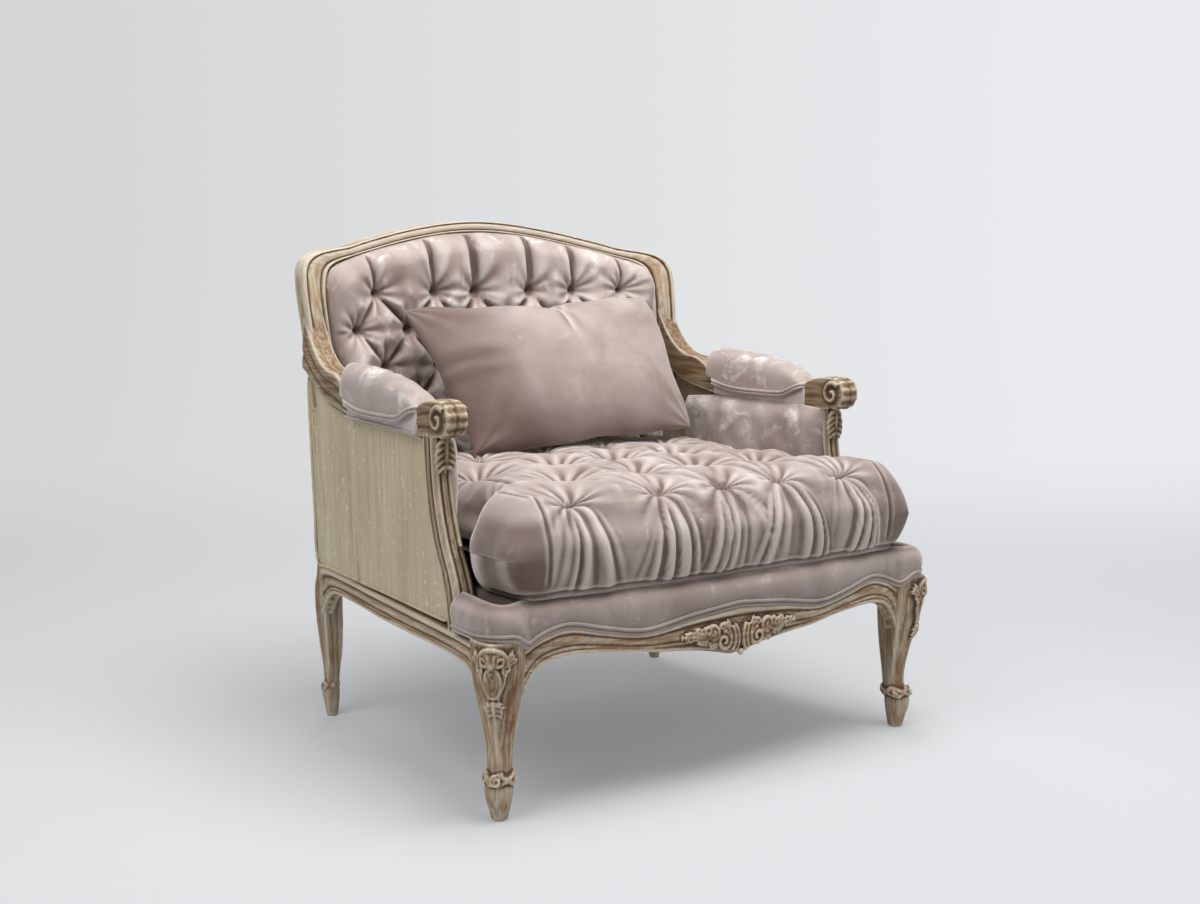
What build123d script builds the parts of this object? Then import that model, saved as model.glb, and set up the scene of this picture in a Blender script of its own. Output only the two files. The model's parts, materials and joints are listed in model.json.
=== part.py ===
"""Tufted armchair: a carved show-wood frame, padded back and arms, a loose seat cushion and a pillow."""
import os
from math import cos, radians, sin, sqrt

from build123d import *

# Driving dimensions in millimetres: x across, y from the front feet to the back, z up from the floor

# Legs and rails
GLIDE_DIAMETER = 20
GLIDE_THICKNESS = 5
FRONT_LEG_X = 453
REAR_LEG_INSET = 46
LEG_SPAN = 704
# Each station of a leg is its height above the glide, width, corner radius and step out from the foot
FRONT_LEG_STATIONS = [
    (0, 26, 11, 0), (21, 36, 15, 1), (55, 46, 18, 1), (82, 39, 12, -4), (120, 42, 11, -4),
    (160, 51, 12, -2), (205, 63, 13, 1), (245, 72, 14, 3), (295, 76, 15, 3),
]
REAR_LEG_STATIONS = [
    (0, 21, 9, 0), (21, 27, 11, 0), (46, 32, 13, 1), (68, 28, 10, 0), (126, 37, 11, 0),
    (195, 44, 4, 2), (250, 46, 4, 3),
]
RAIL_TOP = 318
SIDE_RAIL_TOP = 300
RAIL_THICKNESS = 36
RAIL_REBATE = 20
RAIL_UNDERSIDE = 250
RAIL_UNDERSIDE_CROWN = 10
RAIL_UNDERSIDE_KNEE = 12
RAIL_CENTRE_UNDERSIDE = 222
# The lower edge of a side rail: shares of the leg span, and steps above the underside of the rails
SIDE_RAIL_WAVE = [(0, -28), (0.1, -3), (0.27, 2), (0.47, 2), (0.7, 12), (0.86, 11), (1, -25)]
RAIL_BOW = 40
RAIL_SET_FORWARD = 18
WELT_LINE_CENTRE = 305
WELT_LINE_DIP = 281
WELT_LINE_CROWN = 307
WELT_LINE_KNEE = 285
WELT_LINE_END = 277
SIDE_RAIL_OUT_FRONT = 22
SIDE_RAIL_OUT_REAR = 20
BACK_RAIL_DEPTH = 30
BACK_RAIL_LIFT = 5

# Back
BACK_FACE_SET = 4
BACK_RAKE = 0.18
BACK_SAG = 75
BACK_HALF_WIDTH = 450
FRAME_DEPTH = 34
POST_WIDTH = 54
POST_WIDTH_AT_SEAT = 46
POST_DEPTH_AT_SEAT = 38
POST_SET_BACK = 12
POST_TOP = 857
POST_NECK = 705
POST_ROUND = 5
CREST_TOP = 981
CREST_HEIGHT = 24
SHOULDER_X = 355
SHOULDER_TOP = 922
EAR_ROUND = 50
SHOULDER_SLOPE = -0.12
LOWER_BACK_RAIL_Z = 352
LOWER_BACK_RAIL_HEIGHT = 45
LOWER_BACK_RAIL_DEPTH = 24
BACK_PANEL_THICKNESS = 8
BACK_PANEL_INSET = 2
BACK_PANEL_BOTTOM = 320
BACK_PANEL_SAG = 54

# Arms and sides
ARM_OVERHANG = 14
ARM_WIDTH = 42
ARM_REAR_INSET = 1
ARM_UNDERSIDE = 606
ARM_FRONT = 129
SCROLL_TOP = 668
SCROLL_LENGTH = 108
SADDLE_FRONT = 630
SADDLE_REAR = 643
SADDLE_LENGTH = 262
PAD_END_SLANT = 0.6
ARM_SHOULDER = 690
ARM_SHOULDER_LENGTH = 70
ARM_SWEEP_TOP = 775
ARM_REAR_UNDERSIDE = 690
SUPPORT_DEPTH = 44
SUPPORT_TOP_Y = 200
SUPPORT_FOOT_Y = 121
PANEL_INSET = 6
PANEL_THICKNESS = 8
PANEL_TOP_OUT = 14

# Upholstery
SOFT_GAP = 0.4
DECK_TOP = 355
DECK_CLOTH = 2
DECK_CLOTH_MARGIN = 3
DECK_REAR_MARGIN = 32
DUST_COVER = 1
DUST_COVER_Z = 262
BORDER_BULGE = 8
BORDER_SET_BACK = 2
BORDER_BROW_DROP = 6
BORDER_BROW_SET_BACK = 5
BORDER_CROWN_DROP = 1
BORDER_SECTIONS = 41
CORNER_PAD_LENGTH = 125
CORNER_PAD_WIDTH = 62
CORNER_PAD_ROUND = 14
BACK_PAD_THICKNESS = 48
BACK_PAD_EDGE = 14
BACK_PAD_REAR = 12
BACK_PAD_MARGIN = 2.5
BACK_TUFT_DEPTH = 30
BACK_TUFT_PITCH = 120
BACK_TUFT_TOP = 835
BACK_TUFT_ROW = 72
BACK_TUFT_LINES = 3
BACK_EDGE_DIP = 2
BACK_PUFF_RISE = 4
ARM_PAD_HEIGHT = 70
ARM_PAD_OVERHANG = 6
INNER_PAD_CROWN = 24
INNER_PAD_EDGE = 10
INNER_PAD_FRONT = 234
INNER_PAD_REAR_CLEARANCE = 114

# Loose cushion and pillow
CUSHION_HEIGHT = 168
CUSHION_CROWN = 14
CUSHION_SEAM_SHARE = 0.46
CUSHION_FRONT = -56
CUSHION_REAR_CLEARANCE = 119
CUSHION_EAR_HALF = 447
CUSHION_EAR_END = 112
CUSHION_EAR_STEP = 30
CUSHION_SIDE_CLEARANCE = 61
CUSHION_REAR_SIDE_CLEARANCE = 36
CUSHION_SIDE_DRAW = 24
CUSHION_END_DRAW = 36
# The rounding of the cushion's front and rear: distance from the end, fullness and share of the tuft depth
CUSHION_FRONT_ROUND = [(0, 0.3, 0.08), (8, 0.6, 0.2), (26, 0.88, 0.5)]
CUSHION_REAR_ROUND = [(24, 0.9, 0.25), (7, 0.6, 0.15), (0, 0.3, 0.08)]
SEAT_TUFT_PITCH = 150
SEAT_TUFT_ROW = 148
SEAT_TUFT_FIRST = 5
SEAT_TUFT_ROWS = 4
SEAT_TUFT_DEPTH = 40
SEAT_PLEAT_DEPTH = 20
SEAT_EDGE_DIP = 2
SEAT_PUFF_RISE = 3
CORE_MARGIN = 70
CORE_HEIGHT = 60
CORE_RISE_SHARE = 0.42
PILLOW_WIDTH = 575
PILLOW_HEIGHT = 340
PILLOW_THICKNESS = 130
PILLOW_SEAM = 6
PILLOW_EDGE_DRAW = 16
PILLOW_SPREAD = 21
PILLOW_SLOPE = 0.049
PILLOW_X = 50
PILLOW_FOOT_CLEARANCE = 241
PILLOW_FOOT_RISE = 17
PILLOW_LEAN = 36
INSERT_WIDTH = 360
INSERT_HEIGHT = 170
INSERT_THICKNESS = 44

# Inner fittings
SEAT_STRAP_COUNT = 6
SEAT_STRAP_SPACING = 105
SEAT_CROSS_COUNT = 5
SEAT_CROSS_FIRST = 110
SEAT_CROSS_SPACING = 120
DOWEL_DIAMETER = 8
DOWEL_LENGTH = 44
DOWEL_SPACING = 22
DOWEL_DROP = 8
BLOCK_SIZE = 125
BLOCK_HEIGHT = 36
SCREW_DIAMETER = 5
SCREW_LENGTH = 40
WEBBING_COUNT = 3
WEBBING_WIDTH = 55
WEBBING_THICKNESS = 2
WEBBING_SPACING = 120
WEBBING_FIRST = 520
CARVING_HALF_WIDTH = 150
CARVING_HEIGHT = 52
CARVING_RELIEF = 8
CARVING_DROP = 3
CARVING_RISE = 8
KNEE_CARVING_WIDTH = 50
KNEE_CARVING_HEIGHT = 74
KNEE_CARVING_RELIEF = 14
KNEE_FACET = 42
KNEE_CARVING_Z = 246

# Values worked out from the driving dimensions
REACH = 2000
REAR_LEG_X = BACK_HALF_WIDTH - REAR_LEG_INSET
BACK_FACE_Y = LEG_SPAN - BACK_FACE_SET
BACK_RADIUS = (BACK_HALF_WIDTH ** 2 + BACK_SAG ** 2) / (2 * BACK_SAG)
BOW_RADIUS = (FRONT_LEG_X ** 2 + RAIL_BOW ** 2) / (2 * RAIL_BOW)
SIDE_FRONT = FRONT_LEG_X + SIDE_RAIL_OUT_FRONT
SIDE_REAR = REAR_LEG_X + SIDE_RAIL_OUT_REAR
ARM_OUTER = FRONT_LEG_X + ARM_OVERHANG
ARM_REAR_OUTER = BACK_HALF_WIDTH - ARM_REAR_INSET
PANEL_FRONT = ARM_OUTER - PANEL_INSET
PANEL_REAR = SIDE_REAR + BACK_PANEL_INSET
POST_INNER = BACK_HALF_WIDTH - POST_WIDTH
POST_INNER_FOOT = SIDE_REAR - PANEL_THICKNESS - POST_WIDTH_AT_SEAT
POST_FRONT_AT_SEAT = LEG_SPAN + POST_SET_BACK - POST_DEPTH_AT_SEAT
LEG_TOP = GLIDE_THICKNESS + FRONT_LEG_STATIONS[-1][0]
KNEE_HALF = FRONT_LEG_STATIONS[-1][1] / 2 + FRONT_LEG_STATIONS[-1][3]
KNEE_BACK = KNEE_HALF - 2 * FRONT_LEG_STATIONS[-1][3]
KNEE_INNER = FRONT_LEG_X - KNEE_BACK
SADDLE_START = ARM_FRONT + SCROLL_LENGTH
SADDLE_END = SADDLE_START + SADDLE_LENGTH
STRAP_TOP = RAIL_TOP + 2 * WEBBING_THICKNESS
CLOTH_TOP = STRAP_TOP + DECK_CLOTH
BACK_PAD_BOTTOM = LOWER_BACK_RAIL_Z + LOWER_BACK_RAIL_HEIGHT + SOFT_GAP
INNER_PAD_REAR = LEG_SPAN - INNER_PAD_REAR_CLEARANCE
CUSHION_BOTTOM = DECK_TOP + SOFT_GAP
CUSHION_TOP = CUSHION_BOTTOM + CUSHION_HEIGHT
CUSHION_REAR = LEG_SPAN - CUSHION_REAR_CLEARANCE
CUSHION_HALF = FRONT_LEG_X - CUSHION_SIDE_CLEARANCE
CUSHION_HALF_REAR = REAR_LEG_X - CUSHION_REAR_SIDE_CLEARANCE
PILLOW_FOOT_Y = LEG_SPAN - PILLOW_FOOT_CLEARANCE
PILLOW_FOOT_Z = CUSHION_TOP + PILLOW_FOOT_RISE


def between(a, b, share):
    """The value a given share of the way from a to b."""
    return a + (b - a) * share


def smooth(share):
    """An S-curve that climbs from 0 to 1."""
    share = min(max(share, 0), 1)
    return share * share * (3 - 2 * share)


def mirrored(solid):
    return mirror(solid, about=Plane.YZ)


def side_prism(edges):
    """A prism across the chair, from an outline drawn in y and z."""
    return extrude(Plane.YZ * make_face(edges), amount=REACH, both=True)


def front_prism(edges):
    """A prism from front to back, from an outline drawn in x and z."""
    return extrude(Plane.XZ * make_face(edges), amount=REACH, both=True)


def plan_prism(bottom, top, edges):
    """An upright prism from an outline drawn in x and y."""
    return extrude(Plane.XY.offset(bottom) * make_face(edges), amount=top - bottom)


def ring(points):
    """A closed run of straight lines."""
    return Polyline(*points, close=True).edges()


def box_between(low, high):
    size = [b - a for a, b in zip(low, high)]
    centre = [(a + b) / 2 for a, b in zip(low, high)]
    return Pos(*centre) * Box(*size)


def rod(centre, direction, length, diameter):
    """A round rod about a centre point."""
    return Plane(origin=centre, z_dir=direction) * Cylinder(diameter / 2, length)


def back_y(x, z):
    """The front face of the back frame, raked, and hollow in plan."""
    hollow = sqrt(BACK_RADIUS ** 2 - x ** 2) - (BACK_RADIUS - BACK_SAG)
    return BACK_FACE_Y + BACK_RAKE * (z - POST_TOP) + hollow


def rail_y(x):
    """The bowed front face of the front rail."""
    return -RAIL_SET_FORWARD - sqrt(BOW_RADIUS ** 2 - x ** 2) + (BOW_RADIUS - RAIL_BOW)


def side_x(y, front, rear):
    """A straight line in plan along the left side, given its x at the front and the rear feet."""
    return -between(front, rear, y / LEG_SPAN)


def panel_x(y, z):
    """The outer face of the left side panel, which flares towards its top rear corner."""
    flare = PANEL_TOP_OUT * (z - SIDE_RAIL_TOP) / (ARM_REAR_UNDERSIDE - SIDE_RAIL_TOP)
    return side_x(y, PANEL_FRONT, PANEL_REAR + flare)


def height_on(edges, x):
    """The height of a line made of edges that run outwards from the middle, a distance x from the middle."""
    edge = next((edge for edge in edges if (edge @ 1).X >= x), edges[-1])
    low, high = 0.0, 1.0
    for _ in range(40):
        middle = (low + high) / 2
        if (edge @ middle).X < x:
            low = middle
        else:
            high = middle
    return (edge @ low).Y


# Outlines that more than one piece follows

def both_halves(edges):
    """Edges right of the middle, with their mirror images."""
    return [*edges, *[mirror(edge, about=Plane.YZ).edge() for edge in edges]]


def arch(top, end_slope):
    """The right half of the back's arch, from its middle to its shoulder."""
    drop = CREST_TOP - SHOULDER_TOP
    return Spline(
        (0, top), (SHOULDER_X * 0.37, top - drop * 0.19), (SHOULDER_X * 0.73, top - drop * 0.69),
        (SHOULDER_X, top - drop), tangents=[(1, 0), (1, end_slope)])


def crest_top_line():
    """The crest's top: an arch, a dip at the shoulder and a rounded ear."""
    ear = Spline(
        (SHOULDER_X, SHOULDER_TOP),
        (BACK_HALF_WIDTH - EAR_ROUND * 0.9, SHOULDER_TOP - EAR_ROUND * 0.18),
        (BACK_HALF_WIDTH - EAR_ROUND * 0.24, SHOULDER_TOP - EAR_ROUND * 0.62),
        (BACK_HALF_WIDTH, POST_TOP), tangents=[(1, SHOULDER_SLOPE), (0, -1)])
    return [arch(CREST_TOP, SHOULDER_SLOPE), ear]


def crest_lower_line():
    """The crest's lower edge, with a round corner into each post."""
    foot = SHOULDER_TOP - CREST_HEIGHT
    corner = Spline(
        (SHOULDER_X, foot),
        (between(SHOULDER_X, POST_INNER, 0.66), between(POST_TOP, foot, 0.68)),
        (POST_INNER, POST_TOP), tangents=[(1, SHOULDER_SLOPE), (0, -1)])
    return [arch(CREST_TOP - CREST_HEIGHT, SHOULDER_SLOPE), corner]


def welt_line():
    """The right half of the top edge of the front rail's face, where the velvet border begins."""
    return Spline(
        (0, WELT_LINE_CENTRE),
        (FRONT_LEG_X * 0.43, WELT_LINE_DIP),
        (FRONT_LEG_X * 0.75, WELT_LINE_CROWN),
        (FRONT_LEG_X * 0.92, WELT_LINE_KNEE),
        (FRONT_LEG_X, WELT_LINE_END), tangents=[(1, 0), (1, 0)])


def arm_underline():
    """The underside of the arm behind its support, which the side panel follows."""
    rise = ARM_REAR_UNDERSIDE - ARM_UNDERSIDE
    run = LEG_SPAN - SADDLE_START
    return Spline(
        (SADDLE_START, ARM_UNDERSIDE),
        (SADDLE_START + run * 0.3, ARM_UNDERSIDE + rise * 0.07),
        (SADDLE_START + run * 0.56, ARM_UNDERSIDE + rise * 0.13),
        (SADDLE_START + run * 0.73, ARM_UNDERSIDE + rise * 0.28),
        (LEG_SPAN + POST_SET_BACK, ARM_REAR_UNDERSIDE + rise * 0.2),
        tangents=[(1, 0), (1, 0.8)],
    )


def support_line(offset):
    """The front or the rear edge of the arm support, from its foot to its top."""
    rise = ARM_UNDERSIDE - SIDE_RAIL_TOP
    sweep = SUPPORT_TOP_Y - SUPPORT_FOOT_Y
    shape = [(0, 0), (0.22, 0.2), (0.45, 0.62), (0.69, 0.9), (1, 1)]
    return Spline(*[
        (SUPPORT_FOOT_Y + sweep * across + offset, SIDE_RAIL_TOP + rise * up) for up, across in shape
    ])


# Frame

def knee_facet_plane():
    """The flat at the outer corner of the left knee, which its carving is fixed to."""
    axis = Plane(origin=(-FRONT_LEG_X, 0, KNEE_CARVING_Z), x_dir=(1, -1, 0), z_dir=(-1, -1, 0))
    return axis.offset(KNEE_FACET)


def front_leg():
    """Left front leg: a cabriole leg that swells from a small foot to a broad knee."""
    leg = loft([
        Plane((-FRONT_LEG_X - out, -out, GLIDE_THICKNESS + height)) * RectangleRounded(size, size, corner)
        for height, size, corner, out in FRONT_LEG_STATIONS
    ], ruled=True)
    flat = Rectangle(4 * KNEE_HALF, 2 * (LEG_TOP - KNEE_CARVING_Z))
    return leg - extrude(knee_facet_plane() * flat, amount=KNEE_HALF)


def post_inner(z):
    """The distance from the middle to the inner face of a stile at a height."""
    rise = (z - SIDE_RAIL_TOP) / (POST_TOP - SIDE_RAIL_TOP)
    return between(POST_INNER_FOOT, POST_INNER, min(max(rise, 0), 1))


def post_stations():
    """Sections of the stile over the rear leg: height, outer x, front y and depth."""
    rear = LEG_SPAN + POST_SET_BACK
    stile_x = BACK_HALF_WIDTH - POST_WIDTH / 2
    stations = []
    leans = [(SIDE_RAIL_TOP, 0), (ARM_UNDERSIDE, 0), (POST_NECK, 0.2), (ARM_SWEEP_TOP, 1), (POST_TOP, 1)]
    for z, lean in leans:
        inside_panel = -panel_x(rear, z) - PANEL_THICKNESS - SOFT_GAP
        depth = between(POST_DEPTH_AT_SEAT, FRAME_DEPTH, lean)
        front = between(rear - depth, back_y(stile_x, z), lean)
        stations.append((z, BACK_HALF_WIDTH if lean == 1 else inside_panel, front, depth))
    return stations


def back_post():
    """Left back post: the rear leg and the stile of the back in one piece of timber."""
    sections = [
        Plane((-REAR_LEG_X - out, LEG_SPAN, GLIDE_THICKNESS + height)) * RectangleRounded(size, size, corner)
        for height, size, corner, out in REAR_LEG_STATIONS
    ]
    for z, outer, front, depth in post_stations():
        width = outer - post_inner(z)
        centre = Plane((width / 2 - outer, front + depth / 2, z))
        sections.append(centre * RectangleRounded(width, depth, POST_ROUND))
    return loft(sections, ruled=True)


def behind_post_front():
    """Everything behind the front faces of the stiles."""
    line = [(front, z) for z, outer, front, depth in post_stations()]
    return side_prism(ring([*line, (REACH, line[-1][1]), (REACH, line[0][1])]))


def back_slab(offset, depth, bottom, top):
    """A raked slab, hollow in plan, that starts a given distance behind the front of the back."""
    half = BACK_HALF_WIDTH + POST_WIDTH
    arcs = [
        ThreePointArc((-half, back_y(half, bottom) + shift), (0, back_y(0, bottom) + shift),
                      (half, back_y(half, bottom) + shift))
        for shift in (offset, offset + depth)
    ]
    face = make_face([*arcs, Line(arcs[0] @ 0, arcs[1] @ 0), Line(arcs[0] @ 1, arcs[1] @ 1)])
    rise = top - bottom
    return Solid.extrude((Plane.XY.offset(bottom) * face).face(), Vector(0, BACK_RAKE * rise, rise))


def crest_rail():
    """The arched top of the back, with an ear over each post."""
    top = crest_top_line()
    lower = crest_lower_line()
    outline = both_halves([*top, *lower, Line(top[-1] @ 1, lower[-1] @ 1)])
    return back_slab(0, FRAME_DEPTH, POST_TOP, CREST_TOP + EAR_ROUND) & front_prism(outline)


def below_crest():
    """Everything under the crest's lower edge and between the posts."""
    sides = Polyline((POST_INNER, POST_TOP), (POST_INNER, 0), (0, 0))
    return front_prism(both_halves([*crest_lower_line(), *sides.edges()]))


def rail_band(front, rear, bottom, top):
    """A bowed strip along the front, between two distances behind the front rail's face."""
    arcs = [
        ThreePointArc((-FRONT_LEG_X, rail_y(FRONT_LEG_X) + shift), (0, rail_y(0) + shift),
                      (FRONT_LEG_X, rail_y(FRONT_LEG_X) + shift))
        for shift in (front, rear)
    ]
    ends = [Line(arcs[0] @ end, arcs[1] @ end) for end in (0, 1)]
    return plan_prism(bottom, top, [*arcs, *ends])


def rail_underside():
    """The right half of the wavy lower edge of the front rail."""
    return Spline(
        (0, RAIL_CENTRE_UNDERSIDE),
        (FRONT_LEG_X * 0.2, between(RAIL_CENTRE_UNDERSIDE, RAIL_UNDERSIDE, 0.5)),
        (FRONT_LEG_X * 0.42, RAIL_UNDERSIDE),
        (FRONT_LEG_X * 0.7, RAIL_UNDERSIDE + RAIL_UNDERSIDE_CROWN),
        (FRONT_LEG_X, RAIL_UNDERSIDE - RAIL_UNDERSIDE_KNEE), tangents=[(1, 0), (1, -0.6)])


def front_rail():
    """A bowed rail: its face stops at the welt line, and its core stands behind the velvet border."""
    lower = rail_underside()
    upper = welt_line()
    core_top = Polyline(lower @ 1, (FRONT_LEG_X, RAIL_TOP), (0, RAIL_TOP))
    face_outline = both_halves([lower, upper, Line(lower @ 1, upper @ 1)])
    core_outline = both_halves([lower, *core_top.edges()])
    face = rail_band(0, RAIL_REBATE, 0, REACH) & front_prism(face_outline)
    core = rail_band(RAIL_REBATE, RAIL_THICKNESS, 0, REACH) & front_prism(core_outline)
    return face + core


def side_rail():
    """Left seat rail, between the front leg and the back post."""
    lower = Spline(*[(LEG_SPAN * share, RAIL_UNDERSIDE + step) for share, step in SIDE_RAIL_WAVE])
    rest = Polyline(lower @ 1, (LEG_SPAN, SIDE_RAIL_TOP), (0, SIDE_RAIL_TOP), lower @ 0)
    band = plan_prism(0, REACH, ring([
        (-SIDE_FRONT, 0), (-SIDE_REAR, LEG_SPAN),
        (RAIL_THICKNESS - SIDE_REAR, LEG_SPAN), (RAIL_THICKNESS - SIDE_FRONT, 0),
    ]))
    return band & side_prism([lower, *rest.edges()])


def back_rail():
    front = LEG_SPAN - BACK_RAIL_DEPTH / 2
    return box_between(
        (-REAR_LEG_X, front, RAIL_UNDERSIDE + BACK_RAIL_LIFT),
        (REAR_LEG_X, front + BACK_RAIL_DEPTH, RAIL_TOP))


def lower_back_rail():
    """The rail that the foot of the back padding rests on."""
    rear = LEG_SPAN + POST_SET_BACK - BACK_PANEL_THICKNESS - BACK_PANEL_INSET - SOFT_GAP
    half = post_inner(LOWER_BACK_RAIL_Z) - SOFT_GAP
    return box_between(
        (-half, rear - LOWER_BACK_RAIL_DEPTH, LOWER_BACK_RAIL_Z),
        (half, rear, LOWER_BACK_RAIL_Z + LOWER_BACK_RAIL_HEIGHT))


def arm_band():
    """The strip in plan that the left arm fills."""
    return plan_prism(0, REACH, ring([
        (-ARM_OUTER, 0), (-ARM_REAR_OUTER, LEG_SPAN),
        (ARM_WIDTH - ARM_REAR_OUTER, LEG_SPAN), (ARM_WIDTH - ARM_OUTER, 0),
    ]))


def arm_rail():
    """Left arm: a scroll in front, a saddle for the pad, and a sweep up into the back post."""
    under = arm_underline()
    radius = (SCROLL_TOP - ARM_UNDERSIDE) / 2
    slant = PAD_END_SLANT * (ARM_SHOULDER - SADDLE_REAR)
    shoulder = SADDLE_END + slant
    sweep_start = shoulder + ARM_SHOULDER_LENGTH
    sweep = Spline(
        (sweep_start, ARM_SHOULDER),
        (between(sweep_start, LEG_SPAN, 0.45), between(ARM_SHOULDER, ARM_SWEEP_TOP, 0.22)),
        (between(sweep_start, LEG_SPAN, 0.78), between(ARM_SHOULDER, ARM_SWEEP_TOP, 0.62)),
        (LEG_SPAN, ARM_SWEEP_TOP),
        tangents=[(1, 0), (0.3, 1)],
    )
    top = Polyline(
        (ARM_FRONT + radius, SCROLL_TOP), (SADDLE_START, SCROLL_TOP), (SADDLE_START, SADDLE_FRONT),
        (SADDLE_END, SADDLE_REAR), (shoulder, ARM_SHOULDER), (sweep_start, ARM_SHOULDER))
    scroll = ThreePointArc(
        (ARM_FRONT + radius, SCROLL_TOP),
        (ARM_FRONT, ARM_UNDERSIDE + radius),
        (ARM_FRONT + radius, ARM_UNDERSIDE))
    flat = Line((ARM_FRONT + radius, ARM_UNDERSIDE), under @ 0)
    rear = Polyline(under @ 1, (LEG_SPAN + POST_SET_BACK, ARM_SWEEP_TOP), sweep @ 1)
    outline = [under, *rear.edges(), sweep, *top.edges(), scroll, flat]
    return arm_band() & side_prism(outline) - behind_post_front()


def arm_support():
    """Left arm support, which sweeps forward from the arm to the seat rail."""
    front = support_line(-SUPPORT_DEPTH / 2)
    rear = support_line(SUPPORT_DEPTH / 2)
    outline = [front, rear, Line(front @ 0, rear @ 0), Line(front @ 1, rear @ 1)]
    across = box_between((-ARM_OUTER, 0, 0), (ARM_WIDTH - ARM_OUTER, REACH, REACH))
    return across & side_prism(outline)


def panel_slab():
    """The thin flared slab that the left side panel is cut from."""
    top = ARM_SWEEP_TOP
    sections = [
        Plane.XY.offset(z) * make_face(ring([
            (panel_x(0, z), 0), (panel_x(LEG_SPAN, z), LEG_SPAN),
            (panel_x(LEG_SPAN, z) + PANEL_THICKNESS, LEG_SPAN), (panel_x(0, z) + PANEL_THICKNESS, 0),
        ]))
        for z in (SIDE_RAIL_TOP, top)
    ]
    return loft(sections)


def side_panel():
    """Left side panel, let in between the rail, the support, the arm and the post."""
    under = arm_underline()
    start = support_line(SUPPORT_DEPTH / 2 + SOFT_GAP)
    outline = [
        start, Line(start @ 1, under @ 0), under,
        *Polyline(under @ 1, ((under @ 1).X, SIDE_RAIL_TOP), start @ 0).edges(),
    ]
    return panel_slab() & side_prism(outline) & box_between(
        (-REACH, 0, SIDE_RAIL_TOP + SOFT_GAP), (0, LEG_SPAN + POST_SET_BACK, ARM_SWEEP_TOP))


def back_panel():
    """The outer back, a thin bowed board let in between the posts and under the crest."""
    inset = BACK_PANEL_THICKNESS + BACK_PANEL_INSET
    foot = LEG_SPAN + POST_SET_BACK - inset
    sections = []
    for z in [BACK_PANEL_BOTTOM, *[station[0] for station in post_stations()], CREST_TOP]:
        rise = smooth((z - ARM_UNDERSIDE) / (POST_TOP - ARM_UNDERSIDE))
        half = post_inner(z) - SOFT_GAP
        sag = between(BACK_PANEL_SAG, back_y(0, z) - back_y(half, z), rise)
        edge = between(foot, back_y(half, z) + FRAME_DEPTH - inset, rise)
        arcs = [
            ThreePointArc((-half, edge + shift), (0, edge + sag + shift), (half, edge + shift))
            for shift in (0, BACK_PANEL_THICKNESS)
        ]
        ends = [Line(arcs[0] @ end, arcs[1] @ end) for end in (0, 1)]
        sections.append(Plane.XY.offset(z) * make_face([*arcs, *ends]))
    return loft(sections, ruled=True) & Pos(0, 0, -SOFT_GAP) * below_crest()


def front_carving():
    """The carved shell in the middle of the front rail."""
    low = RAIL_CENTRE_UNDERSIDE
    crown = Spline(
        (0, low + CARVING_HEIGHT),
        (CARVING_HALF_WIDTH * 0.45, low + CARVING_HEIGHT * 0.86),
        (CARVING_HALF_WIDTH, low + CARVING_HEIGHT * 0.62), tangents=[(1, 0), (1, -0.2)])
    under = Spline(
        (0, low - CARVING_DROP),
        (CARVING_HALF_WIDTH * 0.45, low + CARVING_RISE),
        (CARVING_HALF_WIDTH, low + CARVING_HEIGHT * 0.42), tangents=[(1, 0), (1, 0.2)])
    outline = both_halves([crown, under, Line(crown @ 1, under @ 1)])
    return rail_band(-CARVING_RELIEF, 0, 0, REACH) & front_prism(outline)


def knee_carving():
    """Left knee carving, a cartouche on the outer corner of the knee."""
    outline = Ellipse(KNEE_CARVING_WIDTH / 2, KNEE_CARVING_HEIGHT / 2)
    return extrude(knee_facet_plane() * outline, amount=KNEE_CARVING_RELIEF)


# Fittings inside the frame

def front_corner_block():
    bottom = DUST_COVER_Z
    corner = (-FRONT_LEG_X, 0)
    return plan_prism(bottom, bottom + BLOCK_HEIGHT, ring([
        corner, (corner[0] + BLOCK_SIZE, 0), (corner[0], BLOCK_SIZE)]))


def rear_corner_block():
    bottom = DUST_COVER_Z
    corner = (-REAR_LEG_X, LEG_SPAN)
    return plan_prism(bottom, bottom + BLOCK_HEIGHT, ring([
        corner, (corner[0] + BLOCK_SIZE, LEG_SPAN), (corner[0], LEG_SPAN - BLOCK_SIZE)]))


def seat_straps():
    """Webbing straps from the front rail's core to the back rail."""
    straps = []
    for k in range(SEAT_STRAP_COUNT):
        x = (k - (SEAT_STRAP_COUNT - 1) / 2) * SEAT_STRAP_SPACING
        front = rail_y(abs(x) - WEBBING_WIDTH / 2) + RAIL_REBATE + SOFT_GAP + WEBBING_WIDTH / 8
        straps.append(box_between(
            (x - WEBBING_WIDTH / 2, front, RAIL_TOP),
            (x + WEBBING_WIDTH / 2, LEG_SPAN, RAIL_TOP + WEBBING_THICKNESS)))
    return straps


def cross_straps():
    """Webbing straps from side to side, over the others."""
    low = RAIL_TOP + WEBBING_THICKNESS
    straps = []
    for k in range(SEAT_CROSS_COUNT):
        y = SEAT_CROSS_FIRST + SEAT_CROSS_SPACING * k
        half = SEAT_STRAP_COUNT * SEAT_STRAP_SPACING / 2
        straps.append(box_between(
            (-half, y - WEBBING_WIDTH / 2, low), (half, y + WEBBING_WIDTH / 2, STRAP_TOP)))
    return straps


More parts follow.
